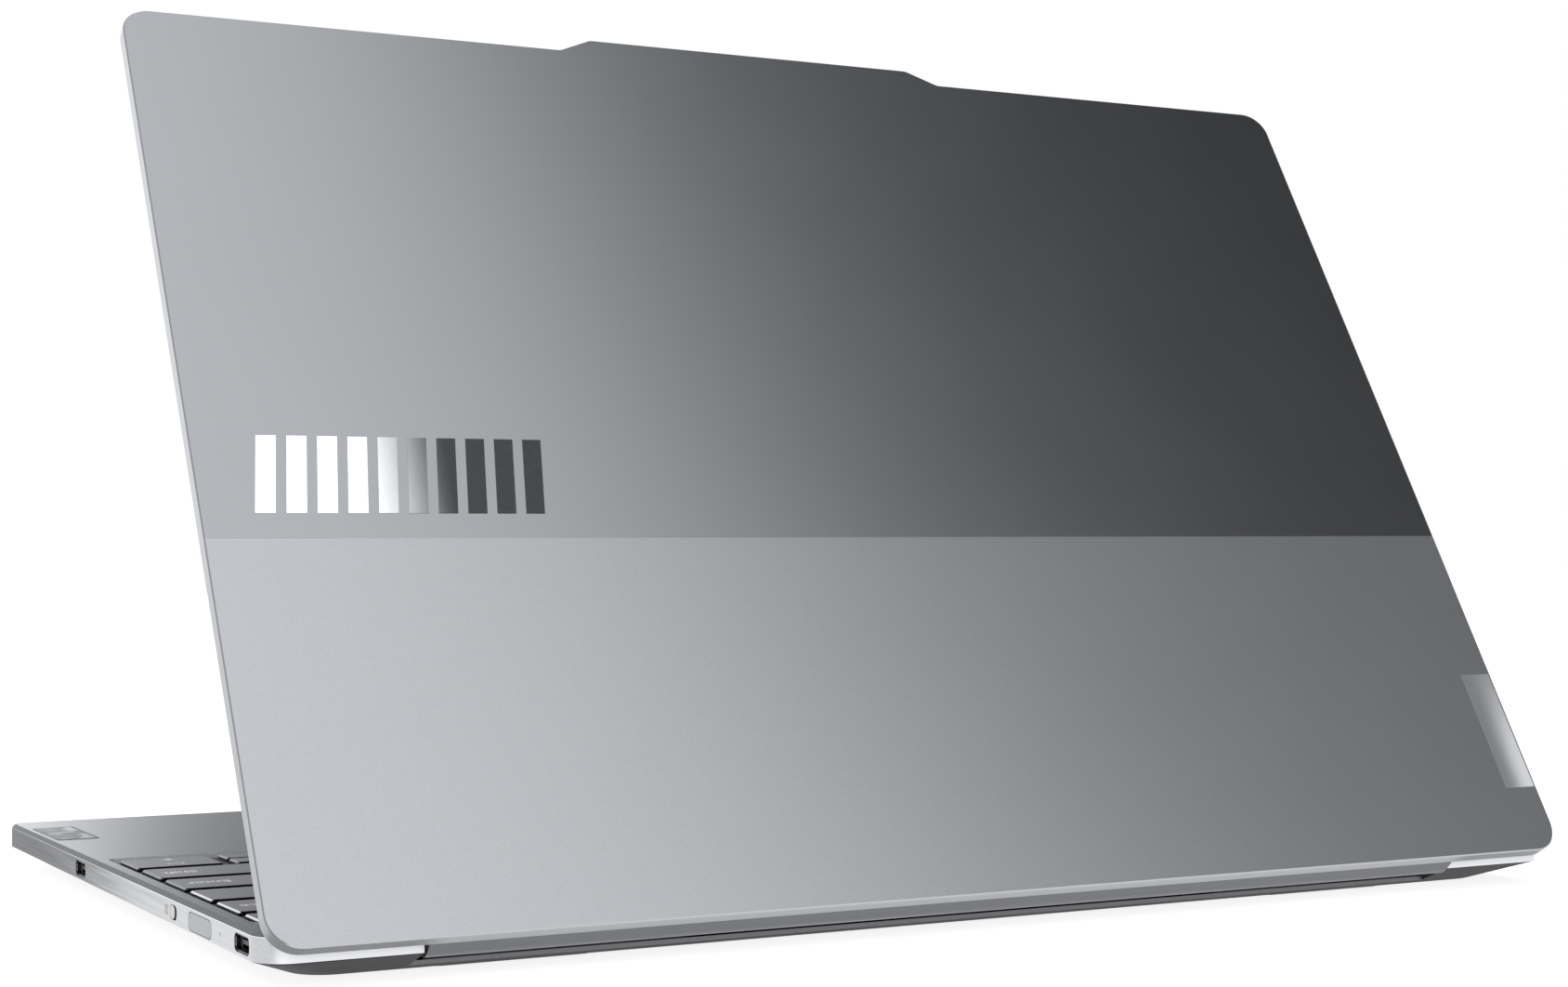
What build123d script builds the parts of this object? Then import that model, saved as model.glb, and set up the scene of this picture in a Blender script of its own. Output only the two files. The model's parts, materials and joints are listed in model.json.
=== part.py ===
"""Thin metal laptop computer, lid open and leaning forward over the keyboard.

Millimetres. X runs to the user's right, Y to the rear, Z up. The origin is the
centre of the footprint, on the surface that the rubber feet stand on.
Distances along the base are given as "back" (measured forward from the rear
wall) and "drop" (measured down from the deck, the palm rest surface). The lid
has its own plane, with its origin on the hinge axis.
"""
from build123d import *
import os
from math import acos, atan2, cos, hypot, radians, sin

# ---------------------------------------------------------------- base shell
WIDTH = 293.4
BASE_DEPTH = 205.1
WALL_DROP = 5.26            # polished side wall, deck to lower edge
FLAT_DROP = 9.4             # underside of the bottom cover
FOOT_HEIGHT = 0.8
DECK_THICKNESS = 1.0
WALL_THICKNESS = 1.5
REAR_CORNER_R = 6.3
FRONT_CORNER_R = 3.2
DECK_CHAMFER = 0.8
REAR_BEVEL = 1.7            # wider bevel under the lid, clears the opening lid
COVER_GAP = 0.2             # shadow line between side wall and bottom cover
COVER_INSET = 0.4
COVER_SLOPE_RUN = 9.6       # how far the bottom cover slopes inward
COVER_THICKNESS = 0.8
COVER_SIDE_RUN = 2.0        # sloped wall measured level
UNDERSIDE_CORNER_R = 7.0

# ---------------------------------------------------------------- hinge and lid
OPEN_ANGLE = 60.0           # lid to deck, as stored
HINGE_INSET = 2.2           # axis forward of the rear wall
HINGE_DROP = 3.1            # axis below the deck
CLOSED_GAP = 0.3            # closed lid to deck
LID_HEIGHT = 205.5
LID_THICKNESS = 3.0
LID_SKIN = 0.8
LID_RIM = 1.2
LID_FOOT_RIM = 2.0
LID_EDGE_CHAMFER = 0.25
LID_TOP_R = 6.0
LID_BOTTOM_R = 6.5
TAB_RISE = 3.6
TAB_FOOT_HALF = 49.0
TAB_TOP_HALF = 41.1
TAB_R = 3.0
NOTCH_HALF = 117.5          # gap in the base's rear edge for the hinge cover
NOTCH_DEPTH = 6.0
LIP_BACK = 8.0              # bottom cover's edge inside the notch
COVER_BAR_HALF = 117.1
COVER_BAR_R = 3.3
BARREL_R = 2.3
SHAFT_R = 1.25
SHAFT_CLEARANCE = 0.05
SHAFT_HOLE_GAP = 0.25
SHAFT_WALL = 0.6            # rear wall left behind each shaft
SHAFT_ROOM = 10.0
CHEEK_THICKNESS = 1.2
NOTCH_WALL_DROP = 6.5
BARREL_X = 107.5            # centre of each hinge barrel
BARREL_HALF = 9.4
WEB_X = -1.7                # web between barrel and leaf, along the lid
LEAF_THICKNESS = 0.8
LEAF_RISE = 1.0             # leaf above the lid's inner face
LEAF_REACH = 5.0
BRACKET_GAP = 0.2
BRACKET_BLOCK = (6.0, 4.6, 2.9)
BRACKET_BLOCK_BACK = 3.9
BRACKET_BLOCK_DROP = 3.15
BRACKET_PLATE = (8.0, 27.0, 0.8)
BRACKET_PLATE_BACK = 16.5
BRACKET_PLATE_DROP = 4.4
BRACKET_HOLE_BACKS = (14.0, 26.0)
BRACKET_HOLE_R = 0.9

# ---------------------------------------------------------------- display
GLASS_THICKNESS = 0.6
GLASS_RECESS = 0.3          # glass below the rubber seal around it
GLASS_INSET = 2.0
GLASS_FOOT_INSET = 2.8
GASKET_DEPTH = 0.5
PANEL_WIDTH = 286.8
PANEL_HEIGHT = 192.0
PANEL_THICKNESS = 1.2
PANEL_RISE = 7.8            # panel's lower edge above the lid's lower edge
CAMERA_RISE = 201.6
CAMERA_BOARD = (60.0, 3.2, 1.2)
LENS_R = 0.95
MICROPHONES = (-26.0, -18.0, 18.0, 26.0)
MICROPHONE_R = 0.35
MICROPHONE_DEPTH = 0.8
MICROPHONE_RISE = 1.2       # above the lid's upper edge, on the raised bar
FOIL_THICKNESS = 0.08
EMBLEM_CENTRE = (-106.1, 94.0)
EMBLEM_BARS = 10
EMBLEM_PITCH = 6.0
EMBLEM_BAR = 3.9
EMBLEM_HEIGHT = 17.0
EMBLEM_LEAN = 1.3
BADGE_CENTRE = (141.8, 29.2)
BADGE_SIZE = (8.4, 28.3)

# ---------------------------------------------------------------- keyboard
KEY_PITCH_X = 19.07
KEY_PITCH_Y = 18.2
KEY_GAP = 2.9
KEY_DEPTH = 15.35
KEY_THICKNESS = 1.5
KEY_DROP = 0.15             # key tops just below the deck
KEY_CORNER_R = 1.0
KEY_CHAMFER = 0.3
KEY_HOLE_GAP = 0.35
NUMBER_ROW_BACK = 38.1
FUNCTION_ROW_BACK = 22.6
FUNCTION_KEY_DEPTH = 9.9
FUNCTION_KEYS = 16
ROW_UNITS = 15
ARROW_UNITS = 1.1
SPACE_UNITS = 5.7
HALF_KEY_GAP = 0.8
WELL_HALF = 143.6
WELL_FRONT = 121.0
WELL_REAR = 15.4
WELL_DEPTH = 0.95
WELL_FLOOR = 0.65
WELL_R = 1.5
BACKPLATE_DROP = 3.5
BACKPLATE_THICKNESS = 0.4
BACKPLATE_HALF = 142.0
BACKPLATE_REAR = 16.0
BACKPLATE_FRONT = 118.0

# ---------------------------------------------------------------- touchpad
PAD_WIDTH = 120.0
PAD_DEPTH = 72.0
PAD_BACK = 127.0            # rear edge of the touchpad
PAD_THICKNESS = 1.2
PAD_DROP = 0.05
PAD_GAP = 0.35
PAD_R = 3.0
BRACKET_DROP = 2.4
BRACKET_THICKNESS = 0.5

# ---------------------------------------------------------------- side features
PORT_DROP = 3.05
PORT_WIDTH = 8.9
PORT_HEIGHT = 3.2
PORT_DEPTH = 7.3
PORT_R = 1.2
PORT_WALL = 0.3
PORT_SETBACK = 0.3
PORT_CAVITY = 6.5
PORT_FIT = 0.06
PORT_CEILING_DROP = 1.35
TONGUE_WIDTH = 6.7
TONGUE_HEIGHT = 0.7
TONGUE_SETBACK = 0.9
REAR_PORT_BACK = 11.35
FRONT_PORT_BACK = 131.55
JACK_BACK = 131.5
JACK_BORE_R = 1.75
JACK_HOLE_R = 2.0           # through the side wall
JACK_LENGTH = 14.0
JACK_BODY = (6.0, 4.0)
POWER_BACK = 38.0
POWER_LENGTH = 15.2
POWER_HEIGHT = 3.3
POWER_DROP = 3.2
POWER_R = 1.5
BUTTON_GAP = 0.24
BUTTON_CEILING_DROP = 1.2
BUTTON_ROOM_BACK = 44.5
BUTTON_ROOM_LENGTH = 33.0
BUTTON_ROOM_DEPTH = 1.4
BUTTON_FLANGE = 0.8         # flange beyond each end of the button
FLANGE_THICKNESS = 0.5
FLANGE_SETBACK = 0.05       # flange behind the inside of the wall
SWITCH_BACK = 56.9
SWITCH_LENGTH = 3.2
SWITCH_HEIGHT = 2.55
SWITCH_DROP = 3.05
SWITCH_TRAVEL = 1.4
LED_BACK = 24.7
LED_R = 0.4
LED_DROP = 3.1
LED_LENGTH = 3.0
LED_HOLDER = (1.4, 1.6)
STICKER_SIZE = (9.3, 27.0)
STICKER_CENTRE = (140.1, 175.5)

# ---------------------------------------------------------------- inside
BOARD_DROP = 4.2
BOARD_THICKNESS = 0.8
SIDE_BOARD_DROP = 4.7
SIDE_BOARD_THICKNESS = 0.7
SIDE_BOARD_INSET = 3.2      # board's edge from the outside of the wall
CPU_BACK = 56.0
CPU_HEIGHT = 0.6
SPREADER_THICKNESS = 0.6
FAN_X = 88.0
FAN_BACK = 47.5
FAN_SIZE = 52.0
FAN_TOP_DROP = 4.6
FAN_FLOOR_DROP = 8.2
FAN_WALL = 0.5
FAN_OUTLET = 42.0
FAN_INLET_R = 14.0
ROTOR_R = 22.0
ROTOR_HEIGHT = 2.0
ROTOR_HUB_R = 7.0
ROTOR_BLADES = 21
FAN_PIN_R = 0.8
FIN_TOP_DROP = 4.4
FIN_PITCH = 1.5
FIN_THICKNESS = 0.3
FIN_FRONT = 19.5
FIN_REAR = 10.5
PIPE_WIDTH = 8.0
PIPE_TOP_DROP = 6.2
PIPE_THICKNESS = 1.2
BATTERY_TOP_DROP = 4.3
BATTERY_FLOOR_DROP = 8.3
BATTERY_BACK = 156.7
CELL_SIZE = (55.0, 63.4)
CELL_PITCH = 57.0
SPEAKER_X = 127.5
SPEAKER_BACK = 164.0
SPEAKER_TOP_DROP = 4.8
SPEAKER_BOX = (15.0, 56.0)
SPEAKER_MOUTH = (26.0, 10.0)
SPEAKER_MOUTH_RISE = 0.4
SPEAKER_SLOT_PITCH = 3.0
SPEAKER_SLOTS = 9
SPEAKER_SLOT = (8.0, 1.0)
SCREW_R = 0.8
SCREW_LENGTH = 3.0
SCREW_HEAD_R = 2.0
SCREW_HEAD_HEIGHT = 0.5
POST_R = 2.2
VENT_PITCH_X = 7.2
VENT_PITCH_Y = 3.0
VENT_COLUMNS = 6
VENT_ROWS = 12
VENT_LENGTH = 5.6
VENT_WIDTH = 1.2
FOOT_X = 95.0
FOOT_BACKS = (17.5, 180.0)
FOOT_SIZE = (34.0, 7.0)
FOOT_CHAMFER = 0.25

# ---------------------------------------------------------------- derived places
LID_OVERHANG = (
    (HINGE_DROP + CLOSED_GAP + LID_THICKNESS) * sin(radians(OPEN_ANGLE))
    + (HINGE_INSET + CLOSED_GAP) * cos(radians(OPEN_ANGLE))
    - HINGE_INSET
)
REAR = (BASE_DEPTH - LID_OVERHANG) / 2
FRONT = REAR - BASE_DEPTH
DECK = FLAT_DROP + FOOT_HEIGHT

LID_UP = Vector(0, -cos(radians(OPEN_ANGLE)), sin(radians(OPEN_ANGLE)))
LID_OUT = Vector(0, sin(radians(OPEN_ANGLE)), cos(radians(OPEN_ANGLE)))
HINGE = Vector(0, REAR - HINGE_INSET, DECK - HINGE_DROP)
# Lid plane: X to the left-hand side of the user, Y up the lid, Z out of its back.
LID = Plane(origin=HINGE, x_dir=(-1, 0, 0), z_dir=LID_OUT)

INNER_FACE = HINGE_DROP + CLOSED_GAP
OUTER_FACE = INNER_FACE + LID_THICKNESS
LID_FOOT = -(HINGE_INSET + CLOSED_GAP)
LID_TOP = LID_FOOT + LID_HEIGHT

KEY_AREA_HALF = (ROW_UNITS * KEY_PITCH_X - KEY_GAP) / 2
SIDES = {"right": 1, "left": -1}


def level(drop):
    """Horizontal plane at a depth below the deck."""
    return Plane.XY.offset(DECK - drop)


def side_plane(side):
    """Plane of a side wall: X along the wall, Y up, Z out of the wall."""
    return Plane(origin=(side * WIDTH / 2, REAR, DECK), x_dir=(0, side, 0), z_dir=(side, 0, 0))


def side_spot(side, back, drop):
    """Place on a side wall, by its distance from the rear wall and below the deck."""
    return (-side * back, -drop)


def hinge_section(x):
    """Section across the hinge at x: X up the lid, Y out of its back, Z to the left."""
    return Plane(origin=(x, HINGE.Y, HINGE.Z), x_dir=LID_UP, z_dir=(-1, 0, 0))


def save(piece, name):
    """Label a finished piece and write it as its own STEP."""
    piece.part.label = name
    export_step(piece.part, f"parts/{name}.step")


def rounded_face(points, radii):
    """Flat closed face with one corner radius for each point."""
    with BuildSketch() as face:
        with BuildLine():
            FilletPolyline(*points, radius=radii, close=True)
        make_face()
    return face.sketch


def base_outline(inset, rear_radius, front_radius):
    """The base seen from above, pulled in by inset on every side."""
    half = WIDTH / 2 - inset
    rear = REAR - inset
    front = FRONT + inset
    points = [(-half, rear), (half, rear), (half, front), (-half, front)]
    return rounded_face(points, [rear_radius, rear_radius, front_radius, front_radius])


def lid_outline(inset, foot_inset, with_tab=False):
    """The lid seen square on, in its own plane."""
    half = WIDTH / 2 - inset
    foot = LID_FOOT + foot_inset
    top = LID_TOP - inset
    top_r = LID_TOP_R - inset
    foot_r = LID_BOTTOM_R - inset
    points = [(-half, foot), (half, foot), (half, top)]
    radii = [foot_r, foot_r, top_r]
    if with_tab:
        points += [(TAB_FOOT_HALF, top), (TAB_TOP_HALF, top + TAB_RISE)]
        points += [(-TAB_TOP_HALF, top + TAB_RISE), (-TAB_FOOT_HALF, top)]
        radii += [TAB_R] * 4
    points.append((-half, top))
    radii.append(top_r)
    return rounded_face(points, radii)


# ================================================================ key layout
def key_rows():
    """Rows from rear to front: back distance, depth, and runs of (node, units, count)."""
    runs = [
        [("keys_number_row", 1, 13), ("backspace_key", 2, 1)],
        [("tab_key", 1.5, 1), ("keys_upper_letter_row", 1, 12), ("keys_upper_letter_row", 1.5, 1)],
        [("caps_lock_key", 1.75, 1), ("keys_home_letter_row", 1, 11), ("enter_key", 2.25, 1)],
        [("left_shift_key", 2.25, 1), ("keys_lower_letter_row", 1, 10), ("right_shift_key", 2.75, 1)],
        [("keys_modifier_row", 1, 4), ("space_key", SPACE_UNITS, 1), ("keys_modifier_row", 1, 2),
         ("arrow_left_key", ARROW_UNITS, 1), ("arrow_pair", ARROW_UNITS, 1),
         ("arrow_right_key", ARROW_UNITS, 1)],
    ]
    function_run = [("keys_function_row", ROW_UNITS / FUNCTION_KEYS, FUNCTION_KEYS)]
    rows = [(FUNCTION_ROW_BACK, FUNCTION_KEY_DEPTH, function_run)]
    for index, run in enumerate(runs):
        rows.append((NUMBER_ROW_BACK + index * KEY_PITCH_Y, KEY_DEPTH, run))
    return rows


def split_arrows(node, x, y, width, depth):
    """One key, or the two half-height keys that share the up and down place."""
    if node != "arrow_pair":
        return [(node, x, y, width, depth)]
    half = (depth - HALF_KEY_GAP) / 2
    shift = (half + HALF_KEY_GAP) / 2
    return [
        ("arrow_up_key", x, y + shift, width, half),
        ("arrow_down_key", x, y - shift, width, half),
    ]


def key_places():
    """Every key as (node, x, y, width, depth)."""
    places = []
    for back, depth, run in key_rows():
        left = -KEY_AREA_HALF
        for node, units, count in run:
            width = units * KEY_PITCH_X - KEY_GAP
            for _ in range(count):
                places += split_arrows(node, left + width / 2, REAR - back, width, depth)
                left += units * KEY_PITCH_X
    return places


def deck_screws():
    """Screws whose posts stand on the deck: (x, y)."""
    middle = [(x, REAR - 121.5) for x in (-125, -60, 60, 125)]
    front = [(x, REAR - 192.5) for x in (-95, 95)]
    return middle + front


def backplate_screws():
    """Screws whose standoffs hang from the keyboard backplate: (x, y)."""
    return [(0, REAR - 19.0), (-125, REAR - 60), (125, REAR - 60)]


def port_opening():
    """Opening in a side wall around a USB-C style receptacle."""
    with BuildSketch() as opening:
        RectangleRounded(PORT_WIDTH + PORT_FIT, PORT_HEIGHT + PORT_FIT, PORT_R + PORT_FIT / 2)
    return opening.sketch


# ================================================================ base shell
def make_top_case():
    """Deck and side walls in one piece, with the keyboard well."""
    outline = base_outline(0, REAR_CORNER_R, FRONT_CORNER_R)
    inner = base_outline(WALL_THICKNESS, REAR_CORNER_R - WALL_THICKNESS, 1)
    inner_depth = WALL_DROP - DECK_THICKNESS
    wall_inside = WIDTH / 2 - WALL_THICKNESS
    well_depth = WELL_FRONT - WELL_REAR
    well_y = REAR - (WELL_FRONT + WELL_REAR) / 2
    cheek_x = NOTCH_HALF + CHEEK_THICKNESS / 2
    with BuildPart() as case:
        with BuildSketch(level(0)):
            add(outline)
        extrude(amount=-WALL_DROP)
        chamfer(case.edges().group_by(Axis.Z)[-1], DECK_CHAMFER)
        with BuildSketch(level(WALL_DROP)):
            add(inner)
        extrude(amount=inner_depth, mode=Mode.SUBTRACT)
        # Keyboard floor, thicker below the deck so that the well can be sunk.
        with BuildSketch(level(DECK_THICKNESS)):
            with Locations((0, well_y)):
                Rectangle(2 * WELL_HALF + 2, well_depth + 2)
        extrude(amount=DECK_THICKNESS - WELL_DEPTH - WELL_FLOOR)
        with BuildSketch(level(0)):
            with Locations((0, well_y)):
                RectangleRounded(2 * WELL_HALF, well_depth, WELL_R)
        extrude(amount=-WELL_DEPTH, mode=Mode.SUBTRACT)
        with BuildSketch(level(WELL_DEPTH)):
            for _, x, y, width, depth in key_places():
                with Locations((x, y)):
                    RectangleRounded(width + 2 * KEY_HOLE_GAP, depth + 2 * KEY_HOLE_GAP, KEY_CORNER_R)
        extrude(amount=-WELL_FLOOR, mode=Mode.SUBTRACT)
        with BuildSketch(level(0)):
            with Locations((0, REAR - PAD_BACK - PAD_DEPTH / 2)):
                RectangleRounded(PAD_WIDTH + 2 * PAD_GAP, PAD_DEPTH + 2 * PAD_GAP, PAD_R + PAD_GAP)
        extrude(amount=-DECK_THICKNESS, mode=Mode.SUBTRACT)
        # Posts for the bottom screws, tapped from below.
        with BuildSketch(level(DECK_THICKNESS)):
            with Locations(*deck_screws()):
                Circle(POST_R)
        extrude(amount=DECK_THICKNESS + COVER_THICKNESS - FLAT_DROP)
        with BuildSketch(level(FLAT_DROP - COVER_THICKNESS)):
            with Locations(*deck_screws()):
                Circle(SCREW_R)
        extrude(amount=SCREW_LENGTH, mode=Mode.SUBTRACT)
        # Wide bevel along the rear edge, which the opening lid sweeps past.
        with BuildSketch(Plane.YZ):
            with BuildLine():
                Polyline(
                    (REAR - REAR_BEVEL, DECK),
                    (REAR, DECK - DECK_CHAMFER),
                    (REAR + 1, DECK - DECK_CHAMFER),
                    (REAR + 1, DECK + 1),
                    (REAR - REAR_BEVEL, DECK + 1),
                    close=True,
                )
            make_face()
        extrude(amount=WIDTH / 2 - REAR_CORNER_R, both=True, mode=Mode.SUBTRACT)
        # Notch for the hinge cover, closed by a front wall and two cheeks.
        with BuildSketch(level(WALL_DROP)):
            with Locations((0, REAR)):
                Rectangle(2 * NOTCH_HALF, 2 * NOTCH_DEPTH)
        extrude(amount=WALL_DROP, mode=Mode.SUBTRACT)
        with BuildSketch(level(DECK_THICKNESS)):
            with Locations((0, REAR - NOTCH_DEPTH - CHEEK_THICKNESS / 2)):
                Rectangle(2 * NOTCH_HALF + 2 * CHEEK_THICKNESS, CHEEK_THICKNESS)
            for side in SIDES.values():
                with Locations((side * cheek_x, REAR - NOTCH_DEPTH / 2 - SHAFT_WALL)):
                    Rectangle(CHEEK_THICKNESS, NOTCH_DEPTH)
        extrude(amount=-inner_depth)
        with BuildSketch(level(WALL_DROP)):
            with Locations((0, REAR - NOTCH_DEPTH - CHEEK_THICKNESS / 2)):
                Rectangle(2 * NOTCH_HALF - 0.4, CHEEK_THICKNESS)
        extrude(amount=WALL_DROP - NOTCH_WALL_DROP)
        # Room for the hinge shafts inside the rear corners, and their holes.
        with BuildSketch(level(WALL_DROP)):
            for side in SIDES.values():
                corner_x = side * (NOTCH_HALF + CHEEK_THICKNESS + SHAFT_ROOM / 2)
                with Locations((corner_x, REAR - (SHAFT_WALL + WALL_THICKNESS) / 2)):
                    Rectangle(SHAFT_ROOM, WALL_THICKNESS - SHAFT_WALL)
        extrude(amount=inner_depth, mode=Mode.SUBTRACT)
        with BuildSketch(Plane.YZ):
            with Locations((HINGE.Y, HINGE.Z)):
                Circle(SHAFT_R + SHAFT_HOLE_GAP)
        extrude(amount=NOTCH_HALF + 2 * CHEEK_THICKNESS, both=True, mode=Mode.SUBTRACT)
        # Right wall: two ports, power button, switch slot and status light.
        with BuildSketch(side_plane(1)):
            with Locations(*(side_spot(1, back, PORT_DROP) for back in (REAR_PORT_BACK, FRONT_PORT_BACK))):
                add(port_opening())
            with Locations(side_spot(1, POWER_BACK, POWER_DROP)):
                RectangleRounded(POWER_LENGTH + BUTTON_GAP, POWER_HEIGHT + BUTTON_GAP, POWER_R)
            with Locations(side_spot(1, SWITCH_BACK - SWITCH_TRAVEL / 2, SWITCH_DROP)):
                SlotOverall(SWITCH_LENGTH + SWITCH_TRAVEL + BUTTON_GAP, SWITCH_HEIGHT + BUTTON_GAP)
            with Locations(side_spot(1, LED_BACK, LED_DROP)):
                Circle(LED_R)
        extrude(amount=-WALL_THICKNESS, mode=Mode.SUBTRACT)
        # Left wall: one port and the audio jack.
        with BuildSketch(side_plane(-1)):
            with Locations(side_spot(-1, REAR_PORT_BACK, PORT_DROP)):
                add(port_opening())
            with Locations(side_spot(-1, JACK_BACK, PORT_DROP)):
                Circle(JACK_HOLE_R)
        extrude(amount=-WALL_THICKNESS, mode=Mode.SUBTRACT)
        # Thinner keyboard floor above the ports and behind the buttons.
        with BuildSketch(level(WELL_DEPTH + WELL_FLOOR)):
            for side in SIDES.values():
                with Locations((side * (wall_inside - PORT_DEPTH / 2), REAR - REAR_PORT_BACK)):
                    Rectangle(PORT_DEPTH, PORT_WIDTH + 1)
        extrude(amount=WELL_DEPTH + WELL_FLOOR - PORT_CEILING_DROP, mode=Mode.SUBTRACT)
        with BuildSketch(level(WELL_DEPTH + WELL_FLOOR)):
            with Locations((wall_inside - BUTTON_ROOM_DEPTH / 2, REAR - BUTTON_ROOM_BACK)):
                Rectangle(BUTTON_ROOM_DEPTH, BUTTON_ROOM_LENGTH)
        extrude(amount=WELL_DEPTH + WELL_FLOOR - BUTTON_CEILING_DROP, mode=Mode.SUBTRACT)
    save(case, "top_case")


def make_bottom_cover():
    """Dark tray under the base: a flat floor with sloped sides, vents and screw holes."""
    top_drop = WALL_DROP + COVER_GAP
    floor_drop = FLAT_DROP - COVER_THICKNESS
    low_inset = COVER_INSET + COVER_SLOPE_RUN
    rise = (FLAT_DROP - top_drop) / COVER_SLOPE_RUN
    inner_inset = COVER_INSET + COVER_SIDE_RUN
    inner_run = (floor_drop - top_drop) / rise
    outlines = [
        base_outline(COVER_INSET, REAR_CORNER_R - COVER_INSET, FRONT_CORNER_R),
        base_outline(low_inset, UNDERSIDE_CORNER_R, UNDERSIDE_CORNER_R),
        base_outline(inner_inset, REAR_CORNER_R - COVER_INSET, FRONT_CORNER_R),
        base_outline(inner_inset + inner_run, UNDERSIDE_CORNER_R, UNDERSIDE_CORNER_R),
    ]
    cheek_x = NOTCH_HALF + CHEEK_THICKNESS / 2
    cheek_rear = 1.0
    cheek_front = LIP_BACK + 2
    with BuildPart() as cover:
        with BuildSketch(level(top_drop)):
            add(outlines[0])
        with BuildSketch(level(FLAT_DROP)):
            add(outlines[1])
        loft(ruled=True)
        with BuildSketch(level(top_drop)):
            add(outlines[2])
        with BuildSketch(level(floor_drop)):
            add(outlines[3])
        loft(ruled=True, mode=Mode.SUBTRACT)
        # Exhaust notch under the hinge cover, with a cheek at each end.
        with BuildSketch(level(FLAT_DROP)):
            with Locations((0, REAR)):
                Rectangle(2 * NOTCH_HALF, 2 * LIP_BACK)
        extrude(amount=FLAT_DROP - top_drop, mode=Mode.SUBTRACT)
        for side in SIDES.values():
            with BuildSketch(Plane.YZ.offset(side * cheek_x)):
                with BuildLine():
                    Polyline(
                        (REAR - cheek_rear, DECK - top_drop),
                        (REAR - cheek_rear, DECK - top_drop - rise * (cheek_rear - COVER_INSET)),
                        (REAR - cheek_front, DECK - top_drop - rise * (cheek_front - COVER_INSET)),
                        (REAR - cheek_front, DECK - top_drop),
                        close=True,
                    )
                make_face()
            extrude(amount=CHEEK_THICKNESS / 2, both=True)
        # Air inlets below the fans, and slots below the speakers.
        with BuildSketch(level(FLAT_DROP)):
            for side in SIDES.values():
                with Locations((side * FAN_X, REAR - FAN_BACK)):
                    with GridLocations(VENT_PITCH_X, VENT_PITCH_Y, VENT_COLUMNS, VENT_ROWS):
                        SlotOverall(VENT_LENGTH, VENT_WIDTH)
                with Locations((side * SPEAKER_X, REAR - SPEAKER_BACK)):
                    with GridLocations(1, SPEAKER_SLOT_PITCH, 1, SPEAKER_SLOTS):
                        SlotOverall(*SPEAKER_SLOT)
        extrude(amount=COVER_THICKNESS, mode=Mode.SUBTRACT)
        with BuildSketch(level(FLAT_DROP)):
            with Locations(*deck_screws(), *backplate_screws()):
                Circle(SCREW_HEAD_R)
        extrude(amount=SCREW_HEAD_HEIGHT, mode=Mode.SUBTRACT)
        with BuildSketch(level(FLAT_DROP)):
            with Locations(*deck_screws(), *backplate_screws()):
                Circle(SCREW_R)
        extrude(amount=COVER_THICKNESS, mode=Mode.SUBTRACT)
    save(cover, "bottom_cover")


def make_bottom_screws():
    """Flush screws of the bottom cover, each with a six-lobe style round socket."""
    with BuildPart() as screws:
        with BuildSketch(level(FLAT_DROP)):
            with Locations(*deck_screws(), *backplate_screws()):
                Circle(SCREW_HEAD_R - 0.05)
        extrude(amount=SCREW_HEAD_HEIGHT)
        with BuildSketch(level(FLAT_DROP - SCREW_HEAD_HEIGHT)):
            with Locations(*deck_screws(), *backplate_screws()):
                Circle(SCREW_R)
        extrude(amount=COVER_THICKNESS - SCREW_HEAD_HEIGHT + SCREW_LENGTH)
        with BuildSketch(level(FLAT_DROP)):
            with Locations(*deck_screws(), *backplate_screws()):
                RegularPolygon(SCREW_R, 6)
        extrude(amount=SCREW_HEAD_HEIGHT - 0.1, mode=Mode.SUBTRACT)
    save(screws, "bottom_screws")


def make_rubber_feet():
    """Four rounded pads under the bottom cover."""
    with BuildPart() as feet:
        with BuildSketch(level(FLAT_DROP)):
            with Locations(*((x, REAR - back) for x in (-FOOT_X, FOOT_X) for back in FOOT_BACKS)):
                SlotOverall(*FOOT_SIZE)
        extrude(amount=-FOOT_HEIGHT)
        chamfer(feet.edges().group_by(Axis.Z)[0], FOOT_CHAMFER)
    save(feet, "rubber_feet")


def make_palm_rest_sticker():
    """Small foil label on the palm rest."""
    x, back = STICKER_CENTRE
    with BuildPart() as sticker:
        with BuildSketch(level(0)):
            with Locations((x, REAR - back)):
                RectangleRounded(*STICKER_SIZE, 0.6)
        extrude(amount=FOIL_THICKNESS)
    save(sticker, "palm_rest_sticker")


# ================================================================ keyboard
def make_keys():
    """Keycaps, one node for each named key or run of keys."""
    places = key_places()
    for name in sorted({node for node, *_ in places}):
        with BuildPart() as keys:
            with BuildSketch(level(KEY_DROP)):
                for node, x, y, width, depth in places:
                    if node == name:
                        with Locations((x, y)):
                            RectangleRounded(width, depth, KEY_CORNER_R)
            extrude(amount=-KEY_THICKNESS)
            chamfer(keys.edges().group_by(Axis.Z)[-1], KEY_CHAMFER)
        save(keys, name)


def make_keyboard_backplate():
    """Steel plate under the keys, with the standoffs of three bottom screws."""
    low = BACKPLATE_DROP + BACKPLATE_THICKNESS
    with BuildPart() as plate:
        with BuildSketch(level(BACKPLATE_DROP)):
            with Locations((0, REAR - (BACKPLATE_REAR + BACKPLATE_FRONT) / 2)):
                RectangleRounded(2 * BACKPLATE_HALF, BACKPLATE_FRONT - BACKPLATE_REAR, 2)
        extrude(amount=-BACKPLATE_THICKNESS)
        with BuildSketch(level(low)):
            with Locations(*backplate_screws()):
                Circle(POST_R)
        extrude(amount=low + COVER_THICKNESS - FLAT_DROP)
        with BuildSketch(level(FLAT_DROP - COVER_THICKNESS)):
            with Locations(*backplate_screws()):
                Circle(SCREW_R)
        extrude(amount=SCREW_LENGTH, mode=Mode.SUBTRACT)
    save(plate, "keyboard_backplate")


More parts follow.
